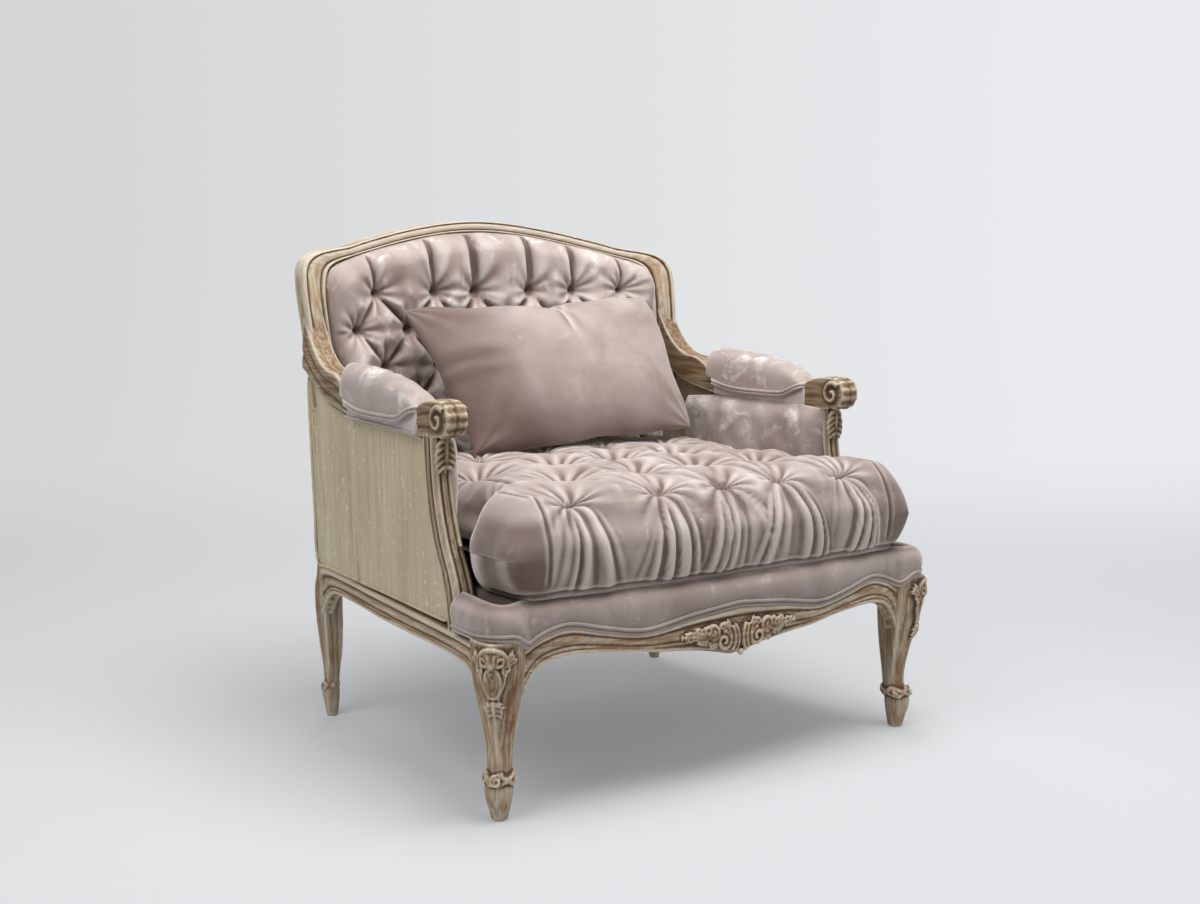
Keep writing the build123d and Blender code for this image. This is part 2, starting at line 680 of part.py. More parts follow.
def deck_outline(margin):
    """The plan of the seat deck: between the arm supports in front, and out to the side panels behind."""
    front_half = FRONT_LEG_X - CORNER_PAD_WIDTH / 2 - margin
    step = INNER_PAD_FRONT
    rear = LEG_SPAN - DECK_REAR_MARGIN - margin
    front = rail_y(front_half) + RAIL_REBATE + SOFT_GAP + margin
    middle = rail_y(0) + RAIL_REBATE + SOFT_GAP + margin
    arc = ThreePointArc((-front_half, front), (0, middle), (front_half, front))
    side = [
        (front_half, front), (front_half, step),
        (-panel_x(step, RAIL_TOP) - PANEL_THICKNESS - margin, step),
        (-panel_x(rear, RAIL_TOP) - PANEL_THICKNESS - margin, rear),
    ]
    other = [(-x, y) for x, y in reversed(side)]
    return [arc, *Polyline(*side, *other).edges()]


def dust_cover():
    """The cloth under the seat, notched round the legs."""
    inner_front = SIDE_FRONT - RAIL_THICKNESS
    inner_rear = SIDE_REAR - RAIL_THICKNESS
    knee = KNEE_INNER - SOFT_GAP
    rear_leg = POST_INNER_FOOT - SOFT_GAP
    front = rail_y(knee) + RAIL_THICKNESS + SOFT_GAP
    knee_back = KNEE_HALF + SOFT_GAP
    rear = LEG_SPAN - BACK_RAIL_DEPTH / 2 - SOFT_GAP
    rear_leg_front = POST_FRONT_AT_SEAT - SOFT_GAP
    left = [(-knee, front), (-knee, knee_back)]
    left += [(side_x(y, inner_front, inner_rear) + SOFT_GAP, y) for y in (knee_back, rear_leg_front)]
    left += [(-rear_leg, rear_leg_front), (-rear_leg, rear)]
    right = [(-x, y) for x, y in reversed(left)]
    return plan_prism(DUST_COVER_Z - DUST_COVER, DUST_COVER_Z, ring(left + right))


def back_strap(z):
    """A webbing strap behind the back pad, bowed in plan."""
    strap = back_slab(BACK_PAD_REAR + SOFT_GAP, WEBBING_THICKNESS, z, z + WEBBING_WIDTH)
    half = post_inner(z) - WEBBING_WIDTH / 2
    return strap & box_between((-half, 0, z), (half, REACH, z + WEBBING_WIDTH))


# Upholstery

def section_loft(sections):
    return Part() + Solid.make_loft([Wire(section) for section in sections], ruled=True)


def front_border():
    """The velvet border over the front rail, with a padded corner over each knee."""
    lower = welt_line()
    sections = []
    for step in range(BORDER_SECTIONS):
        x = between(-KNEE_INNER, KNEE_INNER, step / (BORDER_SECTIONS - 1))
        base = height_on([lower], abs(x)) + 3 * SOFT_GAP
        front = rail_y(x) + BORDER_SET_BACK
        rear = rail_y(x) + RAIL_REBATE - SOFT_GAP
        brow = DECK_TOP - BORDER_BROW_DROP
        brow_y = front + BORDER_BROW_SET_BACK
        corners = [(x, front, base), (x, brow_y, brow), (x, rear, DECK_TOP), (x, rear, base)]
        bulge = (x, front - BORDER_BULGE, between(base, brow, 0.55))
        round_top = (x, between(brow_y, rear, 0.4), DECK_TOP - BORDER_CROWN_DROP)
        sections.append([
            ThreePointArc(corners[0], bulge, corners[1]), ThreePointArc(corners[1], round_top, corners[2]),
            Line(corners[2], corners[3]), Line(corners[3], corners[0]),
        ])
    border = section_loft(sections)
    low = (-FRONT_LEG_X - CORNER_PAD_WIDTH / 2, -KNEE_HALF, LEG_TOP)
    high = (low[0] + CORNER_PAD_WIDTH, low[1] + CORNER_PAD_LENGTH, DECK_TOP)
    pad = box_between(low, high)
    pad = fillet(pad.edges().filter_by(Axis.Z), CORNER_PAD_ROUND)
    pad = fillet(pad.faces().sort_by(Axis.Z)[-1].edges(), CORNER_PAD_ROUND * 0.8)
    return border, pad


def back_pad():
    """The tufted inside back: puffs between diagonal rows of tufts, framed by the crest and the posts."""
    crest = crest_lower_line()
    half_top = POST_INNER - BACK_PAD_MARGIN
    half_foot = post_inner(BACK_PAD_BOTTOM) - BACK_PAD_MARGIN
    column = BACK_TUFT_PITCH / 2
    count = int((half_top - column / 3) / column)
    sections = []
    for k in range(-count - 1, count + 2):
        x_top = min(max(k * column, -half_top), half_top)
        fullness = 1 - (abs(x_top) / half_top) ** 8
        thickness = between(BACK_PAD_EDGE, BACK_PAD_THICKNESS, fullness)
        dip = BACK_TUFT_DEPTH * fullness + BACK_EDGE_DIP
        drop = BACK_TUFT_ROW * (1 - k % 2)
        top = height_on(crest, abs(x_top)) - BACK_PAD_MARGIN

        def at(y, z):
            lean = (z - BACK_PAD_BOTTOM) / (POST_TOP - BACK_PAD_BOTTOM)
            return (x_top * between(half_foot / half_top, 1, lean), y, z)

        def front(z):
            return back_y(x_top, z) - thickness

        brow = (back_y(x_top, top) - BACK_PAD_EDGE / 2, top)
        valleys = [BACK_TUFT_TOP - drop - 2 * BACK_TUFT_ROW * line for line in range(BACK_TUFT_LINES)]
        foot = (front(BACK_PAD_BOTTOM) + BACK_PAD_EDGE, BACK_PAD_BOTTOM)
        knots = [brow] + [(front(z) + dip, z) for z in valleys] + [foot]
        puffs = []
        for upper, lower in zip(knots, knots[1:]):
            middle = (upper[1] + lower[1]) / 2
            puff = min(front(middle), (upper[0] + lower[0]) / 2 - BACK_PUFF_RISE)
            puffs.append(ThreePointArc(at(*upper), at(puff, middle), at(*lower)))
        rear_top = at(back_y(x_top, top) + BACK_PAD_REAR, top)
        rear_foot = at(back_y(x_top, BACK_PAD_BOTTOM) + BACK_PAD_REAR, BACK_PAD_BOTTOM)
        sections.append([
            Line(rear_top, at(*brow)), *puffs, Line(at(*foot), rear_foot), Line(rear_foot, rear_top)])
    return section_loft(sections)


def arm_pad():
    """Left arm pad, a long crowned pad seated in the saddle of the arm."""
    sections = []
    shape = [
        (0, 0.45, 0.6), (0.05, 0.62, 0.9), (0.18, 0.85, 1), (0.45, 1, 1), (0.75, 1, 1),
        (0.93, 0.86, 0.92), (1, 0.74, 0.7),
    ]
    gap = SOFT_GAP * 2
    for along, tall, wide in shape:
        y_base = between(SADDLE_START + gap, SADDLE_END - gap, along)
        base = between(SADDLE_FRONT, SADDLE_REAR, along) + SOFT_GAP
        tilt = PAD_END_SLANT * along
        height = ARM_PAD_HEIGHT * tall
        outer = side_x(y_base, ARM_OUTER, ARM_REAR_OUTER)
        middle = outer + ARM_WIDTH / 2
        half = ARM_WIDTH / 2 * wide
        swell = half + ARM_PAD_OVERHANG * wide

        def at(x, up, y_base=y_base, base=base, tilt=tilt, middle=middle):
            return (middle + x, y_base + tilt * up, base + up)

        sections.append([
            Line(at(half, 0), at(-half, 0)),
            ThreePointArc(at(-half, 0), at(-swell, height * 0.4), at(-half * 0.7, height * 0.86)),
            ThreePointArc(at(-half * 0.7, height * 0.86), at(0, height), at(half * 0.7, height * 0.86)),
            ThreePointArc(at(half * 0.7, height * 0.86), at(swell, height * 0.4), at(half, 0)),
        ])
    return section_loft(sections)


def inner_arm_pad():
    """Left inside arm, a crowned pad against the inner face of the side panel."""
    sections = []
    top = ARM_UNDERSIDE - SOFT_GAP
    base = DECK_TOP + SOFT_GAP
    for along, crown in [(0, 0.15), (0.06, 0.55), (0.25, 1), (0.6, 1), (0.85, 0.6), (1, 0.1)]:
        y = between(INNER_PAD_FRONT, INNER_PAD_REAR, along)

        def at(inward, z, y=y):
            return (panel_x(y, z) + PANEL_THICKNESS + SOFT_GAP + inward, y, z)

        bulge = INNER_PAD_EDGE + INNER_PAD_CROWN * crown
        sections.append([
            Line(at(0, base), at(0, top)),
            Line(at(0, top), at(INNER_PAD_EDGE, top)),
            ThreePointArc(at(INNER_PAD_EDGE, top), at(bulge, (top + base) / 2), at(INNER_PAD_EDGE, base)),
            Line(at(INNER_PAD_EDGE, base), at(0, base)),
        ])
    return section_loft(sections)


def seat_tufts(row):
    """The x of each valley in a row of the seat, and whether a tuft is sewn there."""
    if row % 2 == 0:
        return [(k * SEAT_TUFT_PITCH, True) for k in (-2, -1, 0, 1, 2)]
    return [(k * SEAT_TUFT_PITCH, k != 0) for k in (-1.5, -0.5, 0, 0.5, 1.5)]


def cushion_half(y):
    """Half the width of the seat cushion, which has an ear in front of each arm support."""
    ear = smooth((CUSHION_EAR_END - y) / CUSHION_EAR_STEP)
    body = between(CUSHION_HALF, CUSHION_HALF_REAR, smooth(y / CUSHION_REAR))
    return between(body, CUSHION_EAR_HALF, ear)


def cushion_section(y, fullness, tuft, row_shift):
    """A cross section of the seat cushion, with its valleys part of the way between two rows."""
    half = cushion_half(y) - CUSHION_END_DRAW * (1 - fullness)
    middle = CUSHION_BOTTOM + CUSHION_HEIGHT * CUSHION_SEAM_SHARE
    bottom = between(middle, CUSHION_BOTTOM, fullness)
    brow = between(middle, CUSHION_TOP - CUSHION_SIDE_DRAW, fullness)
    near, far = int(row_shift), int(row_shift) + 1
    share = row_shift - near

    def crown(x):
        return brow + (CUSHION_CROWN + CUSHION_SIDE_DRAW) * fullness * (1 - (x / half) ** 4)

    knots = [(-half + CUSHION_SIDE_DRAW, brow)]
    for (x_near, sewn_near), (x_far, sewn_far) in zip(seat_tufts(near), seat_tufts(far)):
        x = between(x_near, x_far, share)
        knots.append((x, crown(x) - SEAT_EDGE_DIP - tuft * between(sewn_near, sewn_far, share)))
    knots.append((half - CUSHION_SIDE_DRAW, brow))
    puffs = []
    for left, right in zip(knots, knots[1:]):
        x = (left[0] + right[0]) / 2
        puff = max(crown(x), (left[1] + right[1]) / 2 + SEAT_PUFF_RISE)
        puffs.append(ThreePointArc((left[0], y, left[1]), (x, y, puff), (right[0], y, right[1])))
    foot = half - CUSHION_SIDE_DRAW
    return [
        Line((foot, y, bottom), (-foot, y, bottom)),
        ThreePointArc((-foot, y, bottom), (-half, y, middle), (-foot, y, brow)),
        *puffs,
        ThreePointArc((foot, y, brow), (half, y, middle), (foot, y, bottom)),
    ]


def seat_cushion():
    """The loose seat cushion: crowned, tufted in diagonal rows, drawn in along its edges."""
    sections = [
        cushion_section(CUSHION_FRONT + behind, fullness, SEAT_TUFT_DEPTH * share, 0)
        for behind, fullness, share in CUSHION_FRONT_ROUND
    ]
    for row in range(SEAT_TUFT_ROWS):
        y = SEAT_TUFT_FIRST + SEAT_TUFT_ROW * row
        sections.append(cushion_section(y, 1, SEAT_TUFT_DEPTH, row))
        if row == 0:
            for ear_y in (CUSHION_EAR_END - CUSHION_EAR_STEP, CUSHION_EAR_END):
                sections.append(cushion_section(ear_y, 1, SEAT_PLEAT_DEPTH, (ear_y - y) / SEAT_TUFT_ROW))
        elif row < SEAT_TUFT_ROWS - 1:
            sections.append(cushion_section(y + SEAT_TUFT_ROW / 2, 1, SEAT_PLEAT_DEPTH, row + 0.5))
    last = SEAT_TUFT_ROWS - 1
    sections.append(cushion_section(between(y, CUSHION_REAR, 0.55), 1, SEAT_PLEAT_DEPTH, last))
    sections += [
        cushion_section(CUSHION_REAR - ahead, fullness, SEAT_TUFT_DEPTH * share, last)
        for ahead, fullness, share in CUSHION_REAR_ROUND
    ]
    return section_loft(sections)


def cushion_core():
    """The foam slab inside the seat cushion."""
    middle = CUSHION_BOTTOM + CUSHION_HEIGHT * CORE_RISE_SHARE
    half = CUSHION_HALF_REAR - CORE_MARGIN
    return box_between(
        (-half, CUSHION_FRONT + CORE_MARGIN, middle - CORE_HEIGHT / 2),
        (half, CUSHION_REAR - CORE_MARGIN, middle + CORE_HEIGHT / 2))


def pillow_plane():
    """The middle plane of the leaning pillow: x along its width, y up its height, z out of its front."""
    lean = radians(PILLOW_LEAN)
    up = Vector(0, sin(lean), cos(lean))
    centre = Vector(PILLOW_X, PILLOW_FOOT_Y, PILLOW_FOOT_Z) + up * (PILLOW_HEIGHT / 2)
    return Plane(origin=centre, x_dir=(1, 0, 0), z_dir=Vector(0, -cos(lean), sin(lean)))


def pillow():
    """The loose pillow: full in front and flatter behind, with pointed corners and drawn-in edges."""
    plane = pillow_plane()
    sections = []
    for share in (-1, -0.97, -0.88, -0.7, -0.4, 0, 0.4, 0.7, 0.88, 0.97, 1):
        u = PILLOW_WIDTH / 2 * share
        half = PILLOW_HEIGHT / 2 - PILLOW_EDGE_DRAW * (1 - share ** 2)
        full = between(PILLOW_SEAM, PILLOW_THICKNESS, sqrt(1 - share ** 2)) / 2
        flat = between(PILLOW_SEAM, PILLOW_THICKNESS, (1 - share ** 2) ** 0.7) / 2

        def at(up, out, u=u, half=half, share=share):
            across = u + PILLOW_SPREAD * share * up
            return plane.from_local_coords((across, PILLOW_SLOPE * u + half * up, out))

        turns = [radians(-90 + 22.5 * step) for step in range(9)]
        face = [at(sin(turn), full * cos(turn)) for turn in turns]
        arcs = [ThreePointArc(*face[k:k + 3]) for k in (0, 2, 4, 6)]
        sections.append([*arcs, ThreePointArc(face[-1], at(0, -flat), face[0])])
    return section_loft(sections)


def pillow_insert():
    """The pad of filling inside the pillow."""
    return pillow_plane() * Box(INSERT_WIDTH, INSERT_HEIGHT, INSERT_THICKNESS)


# Assembly

def leg_column():
    """The space over the left front leg, which the rails stop at."""
    half = FRONT_LEG_STATIONS[-1][1] / 2
    centre = (-FRONT_LEG_X - FRONT_LEG_STATIONS[-1][3], -FRONT_LEG_STATIONS[-1][3])
    low = (centre[0] - half, centre[1] - half, LEG_TOP)
    return box_between(low, (centre[0] + half, centre[1] + half, DECK_TOP))


def largest(shape):
    """The main solid of a cut piece, without its offcuts."""
    return Part() + shape.solids().sort_by(SortBy.VOLUME)[-1]


def cut(piece, *tools):
    for tool in tools:
        piece = piece - tool
    return piece


def upright_dowel(x, y, z):
    return rod((x, y, z), (0, 0, 1), DOWEL_LENGTH, DOWEL_DIAMETER)


def build():
    """Every piece of the chair by its name, in a frame whose y starts at the front feet."""
    nodes = {}
    leg = front_leg()
    column = leg + leg_column()
    panel = side_panel()
    post = back_post()
    rail = front_rail() - column - mirrored(column)
    side = largest(side_rail() - column - post - rail)
    rear = back_rail() - post - mirrored(post)
    low_back = lower_back_rail()
    support = arm_support()
    arm = arm_rail()
    crest = crest_rail()

    # Dowels, in the places where two pieces of the frame meet
    rail_mid = rail_y(KNEE_INNER) + (RAIL_REBATE + RAIL_THICKNESS) / 2
    heights = [LEG_TOP - DOWEL_DROP - DOWEL_SPACING * k for k in (0, 1)]
    side_mid = RAIL_THICKNESS / 2
    direction = (side_x(LEG_SPAN, SIDE_FRONT, SIDE_REAR) - side_x(0, SIDE_FRONT, SIDE_REAR), LEG_SPAN, 0)
    front_pins = [rod((-KNEE_INNER, rail_mid, z), (1, 0, 0), DOWEL_LENGTH, DOWEL_DIAMETER) for z in heights]
    side_pins = [
        rod((side_x(y, SIDE_FRONT, SIDE_REAR) + side_mid, y, z), direction, DOWEL_LENGTH, DOWEL_DIAMETER)
        for y in (KNEE_BACK, POST_FRONT_AT_SEAT) for z in heights
    ]
    post_face = REAR_LEG_X - POST_WIDTH_AT_SEAT / 2
    rear_pins = [
        rod((-post_face, LEG_SPAN, z), (1, 0, 0), DOWEL_LENGTH, DOWEL_DIAMETER) for z in heights
    ]
    arm_mid = ARM_WIDTH / 2
    top_pin = upright_dowel(arm_mid - ARM_OUTER, SUPPORT_TOP_Y, ARM_UNDERSIDE)
    foot_pin = upright_dowel(arm_mid - ARM_OUTER, SUPPORT_FOOT_Y, SIDE_RAIL_TOP)
    crest_x = BACK_HALF_WIDTH - POST_WIDTH / 2
    crest_pin = upright_dowel(-crest_x, back_y(crest_x, POST_TOP) + FRAME_DEPTH / 2, POST_TOP)

    blocks = [
        largest(front_corner_block() - leg - rail - side),
        largest(rear_corner_block() - post - rear - side),
    ]
    leg = cut(leg, *front_pins, *side_pins[:2])
    post = cut(post, *side_pins[2:], *rear_pins, crest_pin)
    rail = cut(rail, *front_pins, *[mirrored(pin) for pin in front_pins])
    rear = cut(rear, *rear_pins, *[mirrored(pin) for pin in rear_pins])
    side = cut(side, *side_pins, foot_pin)
    support = cut(support, top_pin, foot_pin)
    arm = arm - top_pin
    crest = crest - crest_pin - mirrored(crest_pin)

    # Corner blocks and the screws that hold them to the rails
    screw_z = DUST_COVER_Z + BLOCK_HEIGHT / 2
    reach = BLOCK_SIZE * 0.5
    front_face = rail_y(FRONT_LEG_X - reach) + RAIL_THICKNESS
    screws = [
        rod((reach - FRONT_LEG_X, front_face, screw_z), (0, 1, 0), SCREW_LENGTH, SCREW_DIAMETER),
        rod((side_x(reach, SIDE_FRONT, SIDE_REAR) + RAIL_THICKNESS, reach, screw_z),
            (1, 0, 0), SCREW_LENGTH, SCREW_DIAMETER),
        rod((reach - REAR_LEG_X, LEG_SPAN - BACK_RAIL_DEPTH / 2, screw_z),
            (0, 1, 0), SCREW_LENGTH, SCREW_DIAMETER),
        rod((side_x(LEG_SPAN - reach, SIDE_FRONT, SIDE_REAR) + RAIL_THICKNESS, LEG_SPAN - reach, screw_z),
            (1, 0, 0), SCREW_LENGTH, SCREW_DIAMETER),
    ]
    blocks = [cut(block, *screws) for block in blocks]
    rail = cut(rail, screws[0], mirrored(screws[0]))
    rear = cut(rear, screws[2], mirrored(screws[2]))
    side = cut(side, screws[1], screws[3])

    for name, solid in [
        ("front_leg", leg), ("back_post", post), ("side_rail", side), ("arm_rail", arm),
        ("arm_support", support), ("side_panel", panel), ("knee_carving", knee_carving()),
        ("arm_pad", arm_pad()), ("inner_arm_pad", inner_arm_pad()),
    ]:
        nodes[name + "_left"] = [solid]
        nodes[name + "_right"] = [mirrored(solid)]
    nodes["front_rail"] = [rail]
    nodes["back_rail"] = [rear]
    nodes["lower_back_rail"] = [low_back]
    nodes["crest_rail"] = [crest]
    nodes["back_panel"] = [back_panel()]
    nodes["front_carving"] = [front_carving()]

    pins = front_pins + side_pins + rear_pins
    nodes["rail_dowels"] = pins + [mirrored(pin) for pin in pins]
    nodes["arm_dowels"] = [top_pin, foot_pin, mirrored(top_pin), mirrored(foot_pin)]
    nodes["crest_dowels"] = [crest_pin, mirrored(crest_pin)]
    nodes["corner_blocks"] = blocks + [mirrored(block) for block in blocks]
    nodes["corner_block_screws"] = screws + [mirrored(screw) for screw in screws]
    nodes["foot_glides"] = [
        Pos(side * x, y, GLIDE_THICKNESS / 2) * Cylinder(GLIDE_DIAMETER / 2, GLIDE_THICKNESS)
        for side in (-1, 1) for x, y in ((FRONT_LEG_X, 0), (REAR_LEG_X, LEG_SPAN))
    ]

    nodes["seat_webbing"] = seat_straps()
    nodes["seat_cross_webbing"] = cross_straps()
    nodes["deck_cloth"] = [plan_prism(STRAP_TOP, CLOTH_TOP, deck_outline(DECK_CLOTH_MARGIN))]
    nodes["seat_deck"] = [plan_prism(CLOTH_TOP, DECK_TOP, deck_outline(SOFT_GAP))]
    nodes["dust_cover"] = [dust_cover()]
    nodes["back_webbing"] = [
        back_strap(WEBBING_FIRST + WEBBING_SPACING * k) for k in range(WEBBING_COUNT)
    ]
    border, pad = front_border()
    nodes["front_border"] = [border, pad, mirrored(pad)]
    nodes["back_pad"] = [back_pad()]
    core = cushion_core()
    nodes["seat_cushion"] = [seat_cushion() - core]
    nodes["cushion_core"] = [core]
    insert = pillow_insert()
    nodes["lumbar_pillow"] = [pillow() - insert]
    nodes["pillow_insert"] = [insert]
    return nodes


def main():
    nodes = build()
    compounds = {name: Compound(children=[Part() + s for s in solids]) for name, solids in nodes.items()}
    boxes = [shape.bounding_box() for shape in compounds.values()]
    middle = (min(box.min.Y for box in boxes) + max(box.max.Y for box in boxes)) / 2
    os.makedirs("parts", exist_ok=True)
    for name, shape in compounds.items():
        export_step(Pos(0, -middle, 0) * shape, "parts/" + name + ".step")
    print("depth centre", round(middle, 2))


if __name__ == "__main__":
    main()
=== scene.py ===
"""Looks of the tufted armchair: carved limed wood, painted panels and crushed velvet."""
import json
from math import pi, radians

import bmesh
import bpy
import numpy as np
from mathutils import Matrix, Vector
from numpy import cos, exp, sin, sqrt


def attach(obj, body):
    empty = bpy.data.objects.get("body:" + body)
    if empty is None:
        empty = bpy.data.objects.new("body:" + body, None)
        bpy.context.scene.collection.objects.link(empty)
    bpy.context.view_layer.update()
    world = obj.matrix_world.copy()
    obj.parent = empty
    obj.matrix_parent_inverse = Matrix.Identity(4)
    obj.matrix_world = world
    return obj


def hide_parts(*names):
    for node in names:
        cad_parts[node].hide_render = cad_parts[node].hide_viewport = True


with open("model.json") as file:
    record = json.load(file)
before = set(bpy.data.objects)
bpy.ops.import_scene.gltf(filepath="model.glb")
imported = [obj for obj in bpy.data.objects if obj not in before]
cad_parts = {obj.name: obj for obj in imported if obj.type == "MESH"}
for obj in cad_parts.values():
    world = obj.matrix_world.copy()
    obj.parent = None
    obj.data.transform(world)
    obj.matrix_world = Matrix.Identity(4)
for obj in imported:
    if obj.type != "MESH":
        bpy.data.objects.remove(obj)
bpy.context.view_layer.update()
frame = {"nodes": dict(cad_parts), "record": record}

# Shapes below are in millimetres, with y counted from the front feet
DEPTH_CENTRE = 382.66
LEG_SPAN = 704
LEG_HALF_SPAN = 453
SHOULDER = 857
BACK_Y = 700
BACK_RAKE = 0.18
BACK_SAG = 75
BACK_HALF_SPAN = 450
BACK_RADIUS = (BACK_HALF_SPAN ** 2 + BACK_SAG ** 2) / (2 * BACK_SAG)
RAIL_Y = -18
RAIL_BOW = 40
RAIL_HALF = 424
BOW_RADIUS = (LEG_HALF_SPAN ** 2 + RAIL_BOW ** 2) / (2 * RAIL_BOW)


def back_y(x, z):
    """Front face of the back frame: raked, and hollow in plan."""
    return (BACK_Y + BACK_RAKE * (z - SHOULDER)
            + sqrt(BACK_RADIUS ** 2 - x ** 2) - (BACK_RADIUS - BACK_SAG))


def rail_y(x):
    """Front face of the bowed front rail."""
    return RAIL_Y - sqrt(BOW_RADIUS ** 2 - x ** 2) + (BOW_RADIUS - RAIL_BOW)


# Curves and profiles

def xyz(x, y, z):
    """Points from coordinates, which may be single numbers."""
    return np.stack(np.broadcast_arrays(x, y, z), -1)


def travelled(points):
    """The distance along a row, at each of its points."""
    return np.concatenate([[0], np.cumsum(np.linalg.norm(np.diff(points, axis=0), axis=1))])


def curve(points, count):
    """A smooth line through points, resampled evenly."""
    p = np.asarray(points, float)
    p = np.vstack([2 * p[0] - p[1], p, 2 * p[-1] - p[-2]])
    t = np.linspace(0, 1, 24, endpoint=False)[:, None]
    fine = []
    for a, b, c, d in zip(p, p[1:], p[2:], p[3:]):
        fine.append(0.5 * (2 * b + (c - a) * t + (2 * a - 5 * b + 4 * c - d) * t ** 2
                           + (3 * b - a - 3 * c + d) * t ** 3))
    fine = np.vstack(fine + [p[-2:-1]])
    length = travelled(fine[:, :3])
    at = np.linspace(0, length[-1], count)
    return np.stack([np.interp(at, length, fine[:, k]) for k in range(p.shape[1])], 1)


def line(x, points):
    """A smooth height read off a row of (x, value) points."""
    fine = curve(points, 240)
    return np.interp(x, fine[:, 0], fine[:, 1])


def spread(count):
    """Steps from -1 to 1, closer together at both ends."""
    return sin(np.linspace(-pi / 2, pi / 2, count))


def eased(count):
    """Steps from 0 to 1, closer together at both ends."""
    return 0.5 - 0.5 * cos(np.linspace(0, pi, count))


def soft_step(value, low, high):
    """A smooth rise from 0 to 1."""
    t = np.clip((value - low) / (high - low), 0, 1)
    return t * t * (3 - 2 * t)


def fade(value, low, high):
    """A smooth fall from 1 to 0."""
    return 1 - soft_step(value, low, high)


def bell(value, middle, width):
    """A smooth bump that is 1 at its middle."""
    return exp(-((value - middle) / width) ** 2)


def rounded(share):
    """The rise of a rounded edge, from 0 at the seam to 1 on the face."""
    q = np.clip(share, 0, 1)
    return sqrt(1 - (1 - q) ** 2)


# Shells, each a pair of points and faces

def grid(points, wrap=True, caps=True):
    """A shell over rows of points; wrap closes each row, caps the first and last."""
    points = np.asarray(points, float)
    rows, cols = points.shape[:2]
    index = np.arange(rows * cols).reshape(rows, cols)
    loop = np.hstack([index, index[:, :1]]) if wrap else index
    corners = [loop[:-1, :-1], loop[1:, :-1], loop[1:, 1:], loop[:-1, 1:]]
    faces = np.stack(corners, -1).reshape(-1, 4).tolist()
    if caps:
        faces += [index[0].tolist(), index[-1][::-1].tolist()]
    return points.reshape(-1, 3), faces


def closed(front, rear):
    """A pad from its face and its back, which share their edges."""
    return grid(np.concatenate([front, rear[:, ::-1]], axis=1))


def tube(path, radius, sides=10):
    """A round strand along a path, with one radius or a radius at every point."""
    path = np.asarray(path, float)
    radius = np.broadcast_to(np.asarray(radius, float), len(path))
    tangent = np.gradient(path, axis=0)
    tangent /= np.linalg.norm(tangent, axis=1)[:, None] + 1e-9
    normal = np.cross(tangent[0], [0.31, 0.52, 0.79])
    angle = np.linspace(0, 2 * pi, sides, endpoint=False)[:, None]
    rows = []
    for p, t, r in zip(path, tangent, radius):
        normal = normal - t * normal.dot(t)
        normal /= np.linalg.norm(normal)
        side = np.cross(t, normal)
        rows.append(p + r * (cos(angle) * normal + sin(angle) * side))
    return grid(rows)


def ball(centre, radius, rings=8):
    """A bead, stretched by a radius along each axis."""
    polar = np.linspace(0.02, pi - 0.02, rings)[:, None]
    angle = np.linspace(0, 2 * pi, 2 * rings, endpoint=False)[None, :]
    unit = xyz(sin(polar) * cos(angle), sin(polar) * sin(angle), cos(polar))
    return grid(centre + unit * radius)


def bar(rows, count):
    """A moulded bar: a smooth closed loop through each row of points."""
    return grid([curve(row + row[:1], count)[:-1] for row in rows])


def moved(shell, change):
    return change(shell[0]), shell[1]


def mirrored(shells):
    return [(points * [-1, 1, 1], [f[::-1] for f in faces]) for points, faces in shells]


def sided(shells, hand):
    """Shells made for the left side, or their mirror image."""
    return shells if hand == "left" else mirrored(shells)


# Objects

def linked(obj):
    bpy.context.scene.collection.objects.link(obj)
    return obj


def made(name, points, faces):
    """A smooth object from points in metres, with its faces turned outwards."""
    mesh = bpy.data.meshes.new(name)
    mesh.from_pydata(points, [], faces)
    mesh.validate()
    work = bmesh.new()
    work.from_mesh(mesh)
    bmesh.ops.recalc_face_normals(work, faces=work.faces)
    work.to_mesh(mesh)
    work.free()
    mesh.shade_smooth()
    return linked(bpy.data.objects.new(name, mesh))


def piece(name, shells, material, nodes=(), body="chair"):
    """One object from several shells, riding on a body."""
    verts, faces = [], []
    for points, quads in shells:
        start = len(verts)
        verts += ((points - [0, DEPTH_CENTRE, 0]) / 1000).tolist()
        faces += [[start + i for i in quad] for quad in quads]
    obj = made(name, verts, faces)
    obj.data.materials.append(material)
    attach(obj, body)
    if nodes:
        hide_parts(*nodes)
    return obj


def points_of(mesh):
    co = np.zeros(len(mesh.vertices) * 3)
    mesh.vertices.foreach_get("co", co)
    return co.reshape(-1, 3)


def edges_of(mesh):
    edge = np.zeros(len(mesh.edges) * 2, int)
    mesh.edges.foreach_get("vertices", edge)
    return edge.reshape(-1, 2)


def relaxed(co, edge, rounds, share=1.0):
    """Points drawn towards the mean of their neighbours."""
    n = len(co)
    degree = np.maximum(np.bincount(edge.ravel(), minlength=n), 1)[:, None]
    a, b = edge.T
    for _ in range(rounds):
        total = [np.bincount(a, co[b, k], n) + np.bincount(b, co[a, k], n)
                 for k in range(co.shape[1])]
        co = co + share * (np.stack(total, 1) / degree - co)
    return co


def remeshed(obj, voxel):
    """Fuses an object's shells into one skin."""
    modifier = obj.modifiers.new("skin", "REMESH")
    modifier.mode = "VOXEL"
    modifier.voxel_size = voxel / 1000
    graph = bpy.context.evaluated_depsgraph_get()
    mesh = bpy.data.meshes.new_from_object(obj.evaluated_get(graph))
    obj.modifiers.clear()
    obj.data = mesh
    co = relaxed(points_of(mesh), edges_of(mesh), 2, 0.6)
    mesh.vertices.foreach_set("co", co.ravel())
    mesh.update()
    mesh.shade_smooth()


